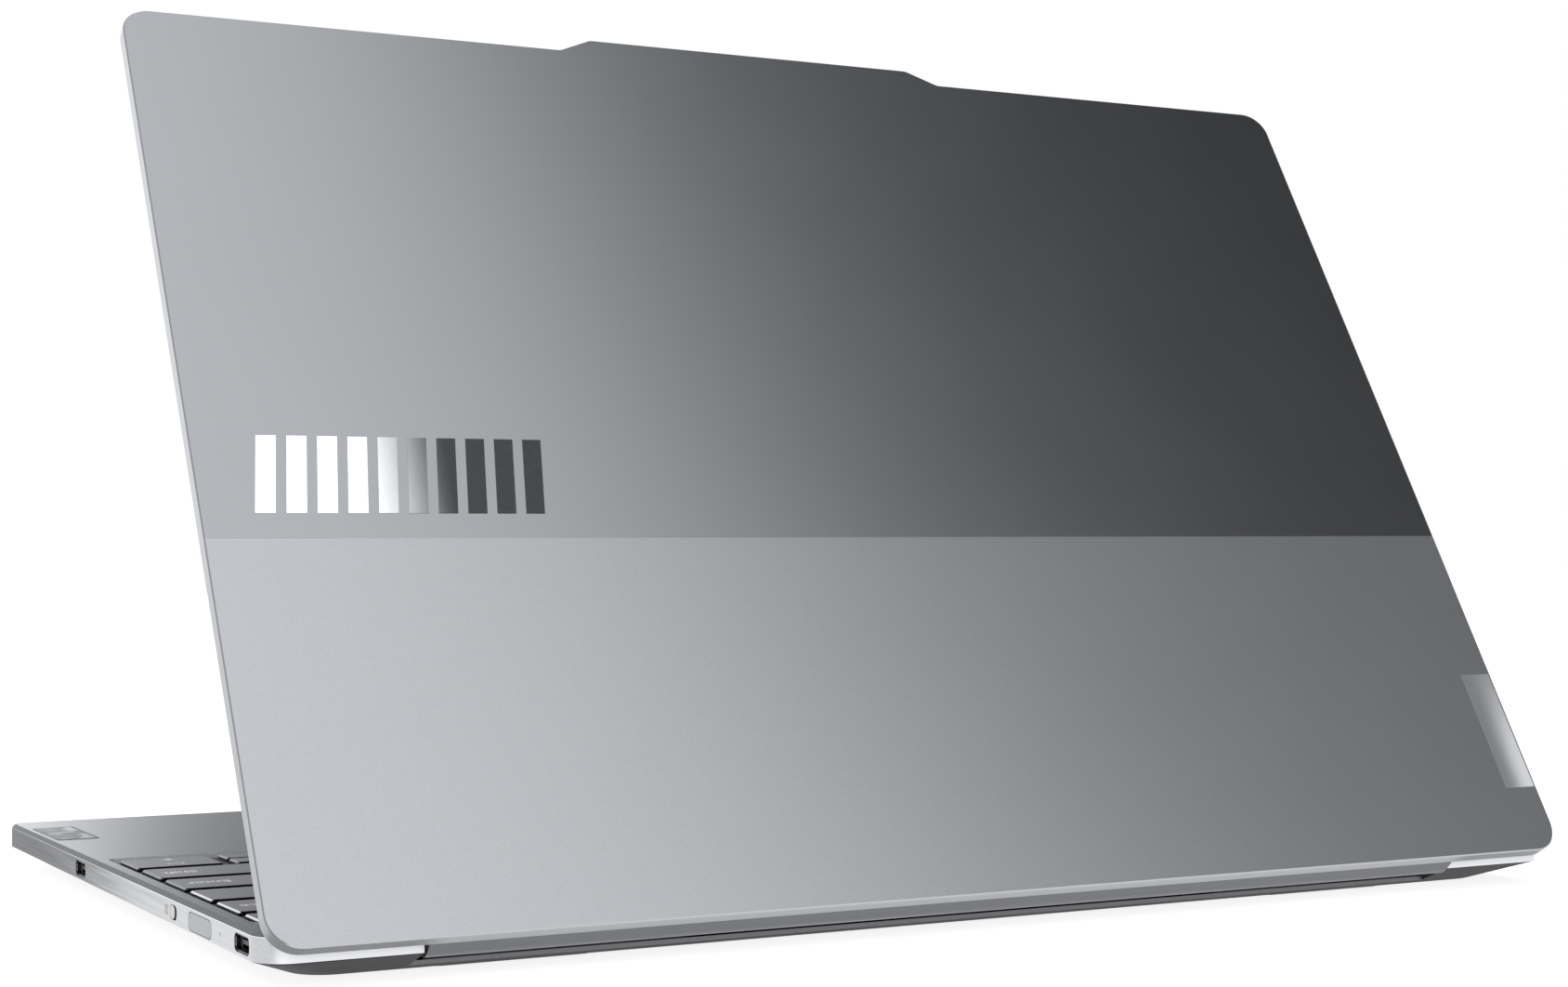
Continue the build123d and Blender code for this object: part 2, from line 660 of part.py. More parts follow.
# ================================================================ touchpad
def make_touchpad():
    """Glass-topped pad, hinged along its rear edge."""
    with BuildPart() as pad:
        with BuildSketch(level(PAD_DROP)):
            with Locations((0, REAR - PAD_BACK - PAD_DEPTH / 2)):
                RectangleRounded(PAD_WIDTH, PAD_DEPTH, PAD_R)
        extrude(amount=-PAD_THICKNESS)
        chamfer(pad.edges().group_by(Axis.Z)[-1], 0.2)
    save(pad, "touchpad")


def make_touchpad_bracket():
    """Shallow tray under the touchpad, fixed to the underside of the deck."""
    depth = BRACKET_DROP - DECK_THICKNESS
    with BuildPart() as tray:
        with BuildSketch(level(DECK_THICKNESS)):
            with Locations((0, REAR - PAD_BACK - PAD_DEPTH / 2)):
                RectangleRounded(PAD_WIDTH + 6, PAD_DEPTH + 5, PAD_R)
        extrude(amount=-depth - BRACKET_THICKNESS)
        with BuildSketch(level(DECK_THICKNESS)):
            with Locations((0, REAR - PAD_BACK - PAD_DEPTH / 2)):
                RectangleRounded(PAD_WIDTH + 3, PAD_DEPTH + 3, PAD_R)
        extrude(amount=-depth, mode=Mode.SUBTRACT)
    save(tray, "touchpad_bracket")


# ================================================================ lid
def make_lid_back_cover():
    """Metal tray of the lid, with the raised bar on its top edge."""
    outline = lid_outline(0, 0, with_tab=True)
    pocket = lid_outline(LID_RIM, LID_FOOT_RIM)
    with BuildPart() as cover:
        with BuildSketch(LID.offset(INNER_FACE)):
            add(outline)
        extrude(amount=LID_THICKNESS)
        outer = cover.faces().sort_by(Axis(HINGE, LID_OUT))[-1]
        chamfer(outer.edges(), LID_EDGE_CHAMFER)
        with BuildSketch(LID.offset(INNER_FACE)):
            add(pocket)
        extrude(amount=LID_THICKNESS - LID_SKIN, mode=Mode.SUBTRACT)
        # Passages for the hinge leaves through the lower rim.
        with BuildSketch(LID.offset(INNER_FACE)):
            with Locations(*((x, LID_FOOT + 0.3 + LID_FOOT_RIM / 2) for x in (-BARREL_X, BARREL_X))):
                Rectangle(2 * BARREL_HALF + 0.2, LID_FOOT_RIM)
        extrude(amount=LEAF_RISE + LEAF_THICKNESS + 0.1, mode=Mode.SUBTRACT)
        # Microphone holes in the inner face of the raised bar.
        with BuildSketch(LID.offset(INNER_FACE)):
            with Locations(*((x, LID_TOP + MICROPHONE_RISE) for x in MICROPHONES)):
                Circle(MICROPHONE_R)
        extrude(amount=MICROPHONE_DEPTH, mode=Mode.SUBTRACT)
    save(cover, "lid_back_cover")


def make_lid_trim():
    """Polished bars and the blank badge plate on the lid's back."""
    x_middle, rise = EMBLEM_CENTRE
    first = x_middle - (EMBLEM_BARS - 1) / 2 * EMBLEM_PITCH
    with BuildPart() as emblem:
        with BuildSketch(LID.offset(OUTER_FACE)):
            for index in range(EMBLEM_BARS):
                with Locations((first + index * EMBLEM_PITCH, LID_FOOT + rise)):
                    Polygon(
                        (-EMBLEM_BAR / 2 - EMBLEM_LEAN, -EMBLEM_HEIGHT / 2),
                        (EMBLEM_BAR / 2 - EMBLEM_LEAN, -EMBLEM_HEIGHT / 2),
                        (EMBLEM_BAR / 2 + EMBLEM_LEAN, EMBLEM_HEIGHT / 2),
                        (-EMBLEM_BAR / 2 + EMBLEM_LEAN, EMBLEM_HEIGHT / 2),
                        align=None,
                    )
        extrude(amount=FOIL_THICKNESS)
    save(emblem, "lid_emblem")
    x, rise = BADGE_CENTRE
    with BuildPart() as badge:
        with BuildSketch(LID.offset(OUTER_FACE)):
            with Locations((x, LID_FOOT + rise)):
                Rectangle(*BADGE_SIZE)
        extrude(amount=FOIL_THICKNESS)
    save(badge, "lid_badge_plate")


def make_display():
    """Gasket, cover glass, LCD panel, camera board and lens."""
    pocket = lid_outline(LID_RIM, LID_FOOT_RIM)
    glass_face = lid_outline(GLASS_INSET, GLASS_FOOT_INSET)
    glass_back = INNER_FACE + GLASS_RECESS + GLASS_THICKNESS
    camera_y = LID_FOOT + CAMERA_RISE
    with BuildPart() as gasket:
        with BuildSketch(LID.offset(INNER_FACE)):
            add(pocket)
            add(glass_face, mode=Mode.SUBTRACT)
        extrude(amount=GASKET_DEPTH)
    save(gasket, "display_gasket")
    with BuildPart() as glass:
        with BuildSketch(LID.offset(INNER_FACE + GLASS_RECESS)):
            add(glass_face)
            with Locations((0, camera_y)):
                Circle(LENS_R + 0.05, mode=Mode.SUBTRACT)
        extrude(amount=GLASS_THICKNESS)
    save(glass, "display_glass")
    with BuildPart() as panel:
        with BuildSketch(LID.offset(glass_back)):
            with Locations((0, LID_FOOT + PANEL_RISE + PANEL_HEIGHT / 2)):
                Rectangle(PANEL_WIDTH, PANEL_HEIGHT)
        extrude(amount=PANEL_THICKNESS)
    save(panel, "lcd_panel")
    with BuildPart() as board:
        with BuildSketch(LID.offset(glass_back)):
            with Locations((0, camera_y)):
                Rectangle(*CAMERA_BOARD[:2])
        extrude(amount=CAMERA_BOARD[2])
    save(board, "camera_module")
    with BuildPart() as lens:
        with BuildSketch(LID.offset(glass_back)):
            with Locations((0, camera_y)):
                Circle(LENS_R)
        extrude(amount=0.05 - GLASS_THICKNESS)
    save(lens, "camera_lens")


# ================================================================ hinges
def cover_bar_points():
    """Corners of the wedge that joins the hinge cover's round bar to the lid."""
    reach = hypot(LID_FOOT, INNER_FACE)
    edge_angle = atan2(INNER_FACE, LID_FOOT)
    tangent_angle = edge_angle + acos(COVER_BAR_R / reach)
    tangent = (COVER_BAR_R * cos(tangent_angle), COVER_BAR_R * sin(tangent_angle))
    return [(0, 0), tangent, (LID_FOOT, INNER_FACE), (0.8, INNER_FACE)]


def make_hinge_cover():
    """Round bar along the lid's lower edge, hollow at both ends for the hinge barrels."""
    with BuildPart() as bar:
        with BuildSketch(hinge_section(0)):
            Circle(COVER_BAR_R)
            Polygon(*cover_bar_points(), align=None)
        extrude(amount=COVER_BAR_HALF, both=True)
        pocket_end = BARREL_X - BARREL_HALF - 0.2
        pocket_half = (COVER_BAR_HALF - pocket_end) / 2
        for side in SIDES.values():
            with BuildSketch(hinge_section(side * (pocket_end + pocket_half))):
                Circle(BARREL_R + 0.1)
                with Locations((WEB_X, INNER_FACE / 2 + 0.1)):
                    Rectangle(LEAF_THICKNESS + 0.1, INNER_FACE + 0.2)
            extrude(amount=pocket_half, both=True, mode=Mode.SUBTRACT)
    save(bar, "hinge_cover")


def make_hinge(side_name, side):
    """One hinge: the lid's barrel and leaf, and the base's bracket."""
    leaf_top = INNER_FACE + LEAF_RISE
    with BuildPart() as barrel:
        with BuildSketch(hinge_section(side * BARREL_X)):
            Circle(BARREL_R)
            with Locations((WEB_X, (leaf_top + LEAF_THICKNESS + 1) / 2)):
                Rectangle(LEAF_THICKNESS, leaf_top + LEAF_THICKNESS - 1)
            with Locations(((WEB_X - LEAF_THICKNESS / 2 + LEAF_REACH) / 2, leaf_top + LEAF_THICKNESS / 2)):
                Rectangle(LEAF_REACH - WEB_X + LEAF_THICKNESS / 2, LEAF_THICKNESS)
            Circle(SHAFT_R + SHAFT_CLEARANCE, mode=Mode.SUBTRACT)
        extrude(amount=BARREL_HALF, both=True)
    save(barrel, f"hinge_barrel_{side_name}")
    bracket_start = NOTCH_HALF + CHEEK_THICKNESS + BRACKET_GAP
    block_width, block_depth, block_height = BRACKET_BLOCK
    plate_width, plate_length, plate_thickness = BRACKET_PLATE
    plate_x = side * (bracket_start + plate_width / 2)
    with BuildPart() as bracket:
        with BuildSketch(Plane.YZ.offset(side * (bracket_start + block_width / 2))):
            with Locations((REAR - BRACKET_BLOCK_BACK, DECK - BRACKET_BLOCK_DROP)):
                Rectangle(block_depth, block_height)
            with Locations((HINGE.Y, HINGE.Z)):
                Circle(SHAFT_R, mode=Mode.SUBTRACT)
        extrude(amount=block_width / 2, both=True)
        with BuildSketch(level(BRACKET_PLATE_DROP)):
            with Locations((plate_x, REAR - BRACKET_PLATE_BACK)):
                RectangleRounded(plate_width, plate_length, 1)
            with Locations(*((plate_x, REAR - back) for back in BRACKET_HOLE_BACKS)):
                Circle(BRACKET_HOLE_R, mode=Mode.SUBTRACT)
        extrude(amount=-plate_thickness)
    save(bracket, f"hinge_bracket_{side_name}")


def make_hinge_shafts():
    """Two steel shafts, fixed in the brackets and turning in the barrels."""
    inner = BARREL_X - BARREL_HALF + 0.5
    outer = NOTCH_HALF + CHEEK_THICKNESS + BRACKET_GAP + BRACKET_BLOCK[0]
    with BuildPart() as shafts:
        for side in SIDES.values():
            with BuildSketch(Plane.YZ.offset(side * (inner + outer) / 2)):
                with Locations((HINGE.Y, HINGE.Z)):
                    Circle(SHAFT_R)
            extrude(amount=(outer - inner) / 2, both=True)
    save(shafts, "hinge_shafts")


# ================================================================ side parts
def make_port(name, side, back):
    """USB-C style receptacle: a rounded metal shell with a contact tongue."""
    wall = side_plane(side).offset(-PORT_SETBACK)
    spot = side_spot(side, back, PORT_DROP)
    with BuildPart() as port:
        with BuildSketch(wall):
            with Locations(spot):
                RectangleRounded(PORT_WIDTH, PORT_HEIGHT, PORT_R)
        extrude(amount=-PORT_DEPTH)
        with BuildSketch(wall):
            with Locations(spot):
                RectangleRounded(PORT_WIDTH - 2 * PORT_WALL, PORT_HEIGHT - 2 * PORT_WALL, PORT_R - PORT_WALL)
        extrude(amount=-PORT_CAVITY, mode=Mode.SUBTRACT)
        with BuildSketch(wall.offset(-PORT_CAVITY)):
            with Locations(spot):
                Rectangle(TONGUE_WIDTH, TONGUE_HEIGHT)
        extrude(amount=PORT_CAVITY - TONGUE_SETBACK)
    save(port, name)


def make_audio_jack():
    """Headset jack: a block with a blind bore."""
    wall = side_plane(-1).offset(-WALL_THICKNESS - 0.1)
    spot = side_spot(-1, JACK_BACK, PORT_DROP)
    with BuildPart() as jack:
        with BuildSketch(wall):
            with Locations(spot):
                RectangleRounded(*JACK_BODY, 0.6)
        extrude(amount=-JACK_LENGTH - 0.6)
        with BuildSketch(wall):
            with Locations(spot):
                Circle(JACK_BORE_R)
        extrude(amount=-JACK_LENGTH, mode=Mode.SUBTRACT)
    save(jack, "audio_jack")


def make_side_boards():
    """Small circuit boards under the ports, buttons and jack."""
    outer = WIDTH / 2 - SIDE_BOARD_INSET
    boards = [(128, outer, 7, 64), (137, outer, 124, 140), (-outer, -128, 7, 20)]
    with BuildPart() as circuit:
        with BuildSketch(level(SIDE_BOARD_DROP)):
            for x_low, x_high, back_rear, back_front in boards:
                with Locations(((x_low + x_high) / 2, REAR - (back_rear + back_front) / 2)):
                    Rectangle(x_high - x_low, back_front - back_rear)
        extrude(amount=-SIDE_BOARD_THICKNESS)
    save(circuit, "side_boards")


def make_status_light():
    """Light pipe that ends flush in the right wall, on its small holder."""
    with BuildPart() as light:
        with BuildSketch(side_plane(1)):
            with Locations(side_spot(1, LED_BACK, LED_DROP)):
                Circle(LED_R - 0.02)
        extrude(amount=-LED_LENGTH)
        with BuildSketch(level(SIDE_BOARD_DROP)):
            with Locations((WIDTH / 2 - LED_LENGTH - LED_HOLDER[0] / 2, REAR - LED_BACK)):
                Rectangle(*LED_HOLDER)
        extrude(amount=SIDE_BOARD_DROP - LED_DROP + 2 * LED_R)
    save(light, "status_light")


def make_power_button():
    """Flush rounded button with a retaining flange inside the wall."""
    spot = side_spot(1, POWER_BACK, POWER_DROP)
    with BuildPart() as button:
        with BuildSketch(side_plane(1)):
            with Locations(spot):
                RectangleRounded(POWER_LENGTH, POWER_HEIGHT, POWER_R)
        extrude(amount=-WALL_THICKNESS - 0.1)
        with BuildSketch(side_plane(1).offset(-WALL_THICKNESS - FLANGE_SETBACK)):
            with Locations(spot):
                Rectangle(POWER_LENGTH + 2 * BUTTON_FLANGE, POWER_HEIGHT)
        extrude(amount=-FLANGE_THICKNESS)
    save(button, "power_button")


def make_privacy_switch():
    """Sliding knob that turns the camera off, with its slider inside the wall."""
    with BuildPart() as switch:
        with BuildSketch(side_plane(1)):
            with Locations(side_spot(1, SWITCH_BACK, SWITCH_DROP)):
                SlotOverall(SWITCH_LENGTH, SWITCH_HEIGHT)
        extrude(amount=-WALL_THICKNESS - 0.1)
        with BuildSketch(side_plane(1).offset(-WALL_THICKNESS - FLANGE_SETBACK)):
            with Locations(side_spot(1, SWITCH_BACK, SWITCH_DROP)):
                Rectangle(SWITCH_LENGTH + 2 * SWITCH_TRAVEL, SWITCH_HEIGHT + 0.5)
        extrude(amount=-FLANGE_THICKNESS)
    save(switch, "privacy_switch")


# ================================================================ electronics
def make_motherboard():
    """Main circuit board with processor, memory and power chips on its underside."""
    low = BOARD_DROP + BOARD_THICKNESS
    with BuildPart() as board:
        with BuildSketch(level(BOARD_DROP)):
            with Locations((0, REAR - 67)):
                Rectangle(116, 90)
            with Locations((0, REAR - 95.5)):
                Rectangle(236, 33)
        extrude(amount=-BOARD_THICKNESS)
        with BuildSketch(level(low)):
            with Locations((0, REAR - CPU_BACK)):
                Rectangle(28, 20)
        extrude(amount=-CPU_HEIGHT)
        with BuildSketch(level(low)):
            with Locations((0, REAR - 80)):
                with GridLocations(15, 1, 4, 1):
                    Rectangle(12, 8)
            with Locations((-80, REAR - 96), (82, REAR - 96)):
                with GridLocations(16, 12, 3, 2):
                    Rectangle(8, 7)
        extrude(amount=-1)
    save(board, "motherboard")


def make_plug_in_card(name, x, back, length, width):
    """Small plug-in card with its chips and edge connector."""
    low = BOARD_DROP + BOARD_THICKNESS
    with BuildPart() as card:
        with BuildSketch(level(low)):
            with Locations((x - length / 2 + 3, REAR - back)):
                Rectangle(5, width)
        extrude(amount=-0.8)
        with BuildSketch(level(low + 0.8)):
            with Locations((x, REAR - back)):
                Rectangle(length, width)
        extrude(amount=-0.8)
        with BuildSketch(level(low + 1.6)):
            with Locations((x + 4, REAR - back)):
                Rectangle(length - 12, width - 5)
        extrude(amount=-1)
    save(card, name)


def make_heat_spreader():
    """Copper plate between the processor and the heat pipe."""
    with BuildPart() as spreader:
        with BuildSketch(level(BOARD_DROP + BOARD_THICKNESS + CPU_HEIGHT)):
            with Locations((0, REAR - CPU_BACK)):
                RectangleRounded(38, 30, 2)
        extrude(amount=-SPREADER_THICKNESS)
    save(spreader, "heat_spreader")


def make_heat_pipe():
    """Flattened copper pipe from the processor to both fin stacks."""
    fin_back = (FIN_FRONT + FIN_REAR) / 2
    half_route = [(112, fin_back), (50, fin_back), (16, CPU_BACK)]
    route = half_route + [(-x, back) for x, back in reversed(half_route)]
    middle = PIPE_TOP_DROP + PIPE_THICKNESS / 2
    with BuildPart() as pipe:
        with BuildLine(level(middle)) as path:
            FilletPolyline(*((x, REAR - back) for x, back in route), radius=10)
        with BuildSketch(Plane(origin=path.line @ 0, x_dir=(0, 1, 0), z_dir=path.line % 0)):
            SlotOverall(PIPE_WIDTH, PIPE_THICKNESS)
        sweep()
    save(pipe, "heat_pipe")


def make_heat_fins():
    """Two stacks of thin fins at the exhaust, with a channel for the heat pipe."""
    depth = FIN_FRONT - FIN_REAR
    middle = REAR - (FIN_FRONT + FIN_REAR) / 2
    plate = 0.3
    with BuildPart() as fins:
        for side in SIDES.values():
            for drop in (FIN_TOP_DROP, FAN_FLOOR_DROP - plate):
                with BuildSketch(level(drop)):
                    with Locations((side * FAN_X, middle)):
                        Rectangle(FAN_SIZE, depth)
                extrude(amount=-plate)
            with BuildSketch(level(FIN_TOP_DROP)):
                with Locations((side * FAN_X, middle)):
                    with GridLocations(FIN_PITCH, 1, int(FAN_SIZE / FIN_PITCH), 1):
                        Rectangle(FIN_THICKNESS, depth)
            extrude(amount=FIN_TOP_DROP - FAN_FLOOR_DROP)
        with BuildSketch(level(PIPE_TOP_DROP)):
            with Locations((0, middle)):
                Rectangle(2 * FAN_X + FAN_SIZE + 1, PIPE_WIDTH)
        extrude(amount=-PIPE_THICKNESS, mode=Mode.SUBTRACT)
    save(fins, "heat_fins")


def make_fan(side_name, side):
    """One blower: a flat housing with its pin, and the rotor that turns on it."""
    x = side * FAN_X
    y = REAR - FAN_BACK
    height = FAN_FLOOR_DROP - FAN_TOP_DROP
    with BuildPart() as housing:
        with BuildSketch(level(FAN_TOP_DROP)):
            with Locations((x, y)):
                RectangleRounded(FAN_SIZE, FAN_SIZE, 4)
        extrude(amount=-height)
        with BuildSketch(level(FAN_TOP_DROP + FAN_WALL)):
            with Locations((x, y)):
                Circle(ROTOR_R + 1.2)
            with Locations((x, y + FAN_SIZE / 4)):
                Rectangle(FAN_OUTLET, FAN_SIZE / 2)
        extrude(amount=2 * FAN_WALL - height, mode=Mode.SUBTRACT)
        with BuildSketch(level(FAN_FLOOR_DROP)):
            with Locations((x, y)):
                Circle(FAN_INLET_R)
        extrude(amount=FAN_WALL, mode=Mode.SUBTRACT)
        with BuildSketch(level(FAN_TOP_DROP + FAN_WALL)):
            with Locations((x, y)):
                Circle(FAN_PIN_R)
        extrude(amount=-ROTOR_HEIGHT - 0.4)
    save(housing, f"fan_housing_{side_name}")
    with BuildPart() as rotor:
        with BuildSketch(level(FAN_TOP_DROP + FAN_WALL + 0.3)):
            with Locations((x, y)):
                Circle(ROTOR_HUB_R)
                with PolarLocations((ROTOR_HUB_R + ROTOR_R) / 2 - 0.3, ROTOR_BLADES):
                    Rectangle(ROTOR_R - ROTOR_HUB_R + 0.6, 0.6)
                Circle(FAN_PIN_R + SHAFT_CLEARANCE, mode=Mode.SUBTRACT)
        extrude(amount=-ROTOR_HEIGHT)
    save(rotor, f"fan_rotor_{side_name}")


def make_battery():
    """Four flat cells in a shared plastic frame."""
    height = BATTERY_FLOOR_DROP - BATTERY_TOP_DROP
    middle = REAR - BATTERY_BACK
    with BuildPart() as cells:
        with BuildSketch(level(BATTERY_TOP_DROP)):
            with Locations((0, middle)):
                with GridLocations(CELL_PITCH, 1, 4, 1):
                    RectangleRounded(*CELL_SIZE, 1.5)
        extrude(amount=-height)
    save(cells, "battery_cells")
    with BuildPart() as frame:
        with BuildSketch(level(BATTERY_TOP_DROP)):
            with Locations((0, middle)):
                RectangleRounded(4 * CELL_PITCH + 1.4, CELL_SIZE[1] + 2.2, 2)
                with GridLocations(CELL_PITCH, 1, 4, 1):
                    RectangleRounded(CELL_SIZE[0] + 0.2, CELL_SIZE[1] + 0.2, 1.6, mode=Mode.SUBTRACT)
        extrude(amount=-height)
    save(frame, "battery_frame")


def make_speakers():
    """Two sealed speaker boxes with an oval diaphragm, one at each side of the battery."""
    with BuildPart() as speakers:
        with BuildSketch(level(SPEAKER_TOP_DROP)):
            with Locations((-SPEAKER_X, REAR - SPEAKER_BACK), (SPEAKER_X, REAR - SPEAKER_BACK)):
                RectangleRounded(*SPEAKER_BOX, 3)
        extrude(amount=SPEAKER_TOP_DROP - BATTERY_FLOOR_DROP + SPEAKER_MOUTH_RISE)
        with BuildSketch(level(BATTERY_FLOOR_DROP - SPEAKER_MOUTH_RISE)):
            with Locations((-SPEAKER_X, REAR - SPEAKER_BACK), (SPEAKER_X, REAR - SPEAKER_BACK)):
                SlotOverall(*SPEAKER_MOUTH, rotation=90)
        extrude(amount=-SPEAKER_MOUTH_RISE)
    save(speakers, "speakers")


def main():
    """Write every piece of the laptop."""
    os.makedirs("parts", exist_ok=True)
    make_top_case()
    make_bottom_cover()
    make_bottom_screws()
    make_rubber_feet()
    make_palm_rest_sticker()
    make_keys()
    make_keyboard_backplate()
    make_touchpad()
    make_touchpad_bracket()
    make_lid_back_cover()
    make_lid_trim()
    make_display()
    make_hinge_cover()
    make_hinge_shafts()
    make_port("usb_c_port_right_rear", 1, REAR_PORT_BACK)
    make_port("usb_c_port_right_front", 1, FRONT_PORT_BACK)
    make_port("usb_c_port_left", -1, REAR_PORT_BACK)
    make_audio_jack()
    make_side_boards()
    make_status_light()
    make_power_button()
    make_privacy_switch()
    make_motherboard()
    make_plug_in_card("ssd_module", -30, 99, 42, 22)
    make_plug_in_card("wifi_card", 30, 101, 28, 20)
    make_heat_spreader()
    make_heat_pipe()
    make_heat_fins()
    for side_name, side in SIDES.items():
        make_hinge(side_name, side)
        make_fan(side_name, side)
    make_battery()
    make_speakers()


main()
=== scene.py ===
"""Looks for the laptop computer: materials, key legends, small printed marks, floor, light and camera.

Metres. The CAD nodes keep their places; everything is placed from their boxes.
"""
import json
import math

import bpy
from mathutils import Matrix, Vector

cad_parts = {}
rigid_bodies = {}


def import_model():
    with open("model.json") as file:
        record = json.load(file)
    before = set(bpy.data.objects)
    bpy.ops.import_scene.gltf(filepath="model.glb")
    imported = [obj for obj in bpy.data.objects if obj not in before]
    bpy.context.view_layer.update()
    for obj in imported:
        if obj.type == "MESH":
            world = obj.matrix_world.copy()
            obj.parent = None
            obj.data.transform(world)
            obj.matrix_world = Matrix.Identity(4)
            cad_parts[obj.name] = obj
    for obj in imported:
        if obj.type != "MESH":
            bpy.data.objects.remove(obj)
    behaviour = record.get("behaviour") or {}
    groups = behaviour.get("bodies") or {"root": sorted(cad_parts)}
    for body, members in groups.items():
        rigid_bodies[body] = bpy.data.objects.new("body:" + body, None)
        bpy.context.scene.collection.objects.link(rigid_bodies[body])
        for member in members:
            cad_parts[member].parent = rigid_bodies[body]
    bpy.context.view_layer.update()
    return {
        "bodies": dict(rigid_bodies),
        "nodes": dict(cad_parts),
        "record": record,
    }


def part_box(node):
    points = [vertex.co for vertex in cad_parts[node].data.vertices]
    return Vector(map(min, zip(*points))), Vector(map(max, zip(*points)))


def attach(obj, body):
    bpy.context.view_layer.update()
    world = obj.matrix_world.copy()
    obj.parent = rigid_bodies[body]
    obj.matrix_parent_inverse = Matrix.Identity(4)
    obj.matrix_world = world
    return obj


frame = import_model()
nodes = frame["nodes"]

MM = 0.001
CASE_LOW, CASE_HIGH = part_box("top_case")
REAR = CASE_HIGH.y
FRONT = CASE_LOW.y
DECK = CASE_HIGH.z
HALF_WIDTH = CASE_HIGH.x
LEAN = math.radians(60)
LID_UP = Vector((0, -math.cos(LEAN), math.sin(LEAN)))
LID_OUT = Vector((0, math.sin(LEAN), math.cos(LEAN)))
JOINTS = {joint["name"]: joint for joint in frame["record"]["behaviour"]["joints"]}
HINGE = Vector(JOINTS["lid_hinge"]["pos_m"])
LID_FOOT = -2.5 * MM                # lid's lower edge, below the hinge axis
TWO_TONE_RISE = 80 * MM             # where the satin upper part of the lid starts

WHITE = (1.0, 1.0, 1.0)
BLACK = (0.004, 0.004, 0.0045)
FINE_GRAIN = 9000                   # blasted surfaces, waves per metre


def clear(value):
    """A colour with full opacity."""
    return (*value, 1.0)


class Shade:
    """One node material, with short ways to make the nodes it needs."""

    def __init__(self, name, color, roughness, metallic=0.0):
        self.material = bpy.data.materials.new(name)
        self.material.use_nodes = True
        self.tree = self.material.node_tree
        self.shader = self.tree.nodes["Principled BSDF"]
        self.put("Base Color", color)
        self.put("Roughness", roughness)
        self.put("Metallic", metallic)
        self.coordinates = self.tree.nodes.new("ShaderNodeTexCoord")

    def feed(self, socket, value):
        """A link, a colour or a number into one socket."""
        if isinstance(value, bpy.types.NodeSocket):
            self.tree.links.new(value, socket)
        elif isinstance(value, tuple) and socket.type == "RGBA":
            socket.default_value = clear(value)
        else:
            socket.default_value = value

    def put(self, socket_name, value):
        self.feed(self.shader.inputs[socket_name], value)

    def node(self, kind, *values, **settings):
        made = self.tree.nodes.new(kind)
        for key, setting in settings.items():
            setattr(made, key, setting)
        for socket, value in zip(made.inputs, values):
            self.feed(socket, value)
        return made

    def place(self):
        """Where the point is on the object at rest, in metres."""
        return self.coordinates.outputs["Object"]

    def axis(self, name, vector=None):
        split = self.node("ShaderNodeSeparateXYZ", vector or self.place())
        return split.outputs[name]

    def facing(self, name):
        """One part of the surface's direction, on the object at rest."""
        return self.axis(name, self.normal())

    def math(self, operation, first, second=0.0):
        return self.node("ShaderNodeMath", first, second, operation=operation).outputs[0]

    def normal(self):
        """The surface's direction, on the object at rest."""
        return self.coordinates.outputs["Normal"]

    def away(self, name, centre=0.0):
        """Distance from a plane across one axis."""
        return self.math("ABSOLUTE", self.math("SUBTRACT", self.axis(name), centre))

    def product(self, *factors):
        """All the factors multiplied together."""
        total = factors[0]
        for factor in factors[1:]:
            total = self.math("MULTIPLY", total, factor)
        return total

    def dot(self, vector, direction):
        made = self.node("ShaderNodeVectorMath", vector, tuple(direction), operation="DOT_PRODUCT")
        return made.outputs["Value"]

    def step(self, value, low, high, start=0.0, end=1.0):
        """Smooth step from start at low to end at high."""
        made = self.node("ShaderNodeMapRange", interpolation_type="SMOOTHSTEP")
        for name, number in (("Value", value), ("From Min", low), ("From Max", high)):
            self.feed(made.inputs[name], number)
        for name, number in (("To Min", start), ("To Max", end)):
            self.feed(made.inputs[name], number)
        return made.outputs["Result"]

    def noise(self, scale, detail=2.0, stretch=None, roughness=0.5):
        """Soft noise, scale in waves per metre, with each axis multiplied by stretch."""
        place = self.place()
        if stretch:
            place = self.node("ShaderNodeVectorMath", place, stretch, operation="MULTIPLY").outputs[0]
        made = self.node("ShaderNodeTexNoise")
        self.feed(made.inputs["Vector"], place)
        made.inputs["Scale"].default_value = scale
        made.inputs["Detail"].default_value = detail
        made.inputs["Roughness"].default_value = roughness
        return made.outputs["Fac"]

    def mix(self, factor, first, second):
        """A colour between two colours."""
        made = self.node("ShaderNodeMix", data_type="RGBA")
        self.feed(made.inputs[0], factor)
        self.feed(made.inputs[6], first)
        self.feed(made.inputs[7], second)
        return made.outputs[2]

    def bump(self, height, distance, strength=1.0):
        made = self.node("ShaderNodeBump")
        self.feed(made.inputs["Height"], height)
        made.inputs["Distance"].default_value = distance
        made.inputs["Strength"].default_value = strength
        self.put("Normal", made.outputs["Normal"])

    def dress(self, *names):
        """Use this material on whole CAD nodes."""
        for name in names:
            for place in nodes[name].material_slots:
                place.material = self.material


def darker(color, amount):
    return tuple(part * (1 - amount) for part in color)


def lighter(color, amount):
    return tuple(part + (1 - part) * amount for part in color)


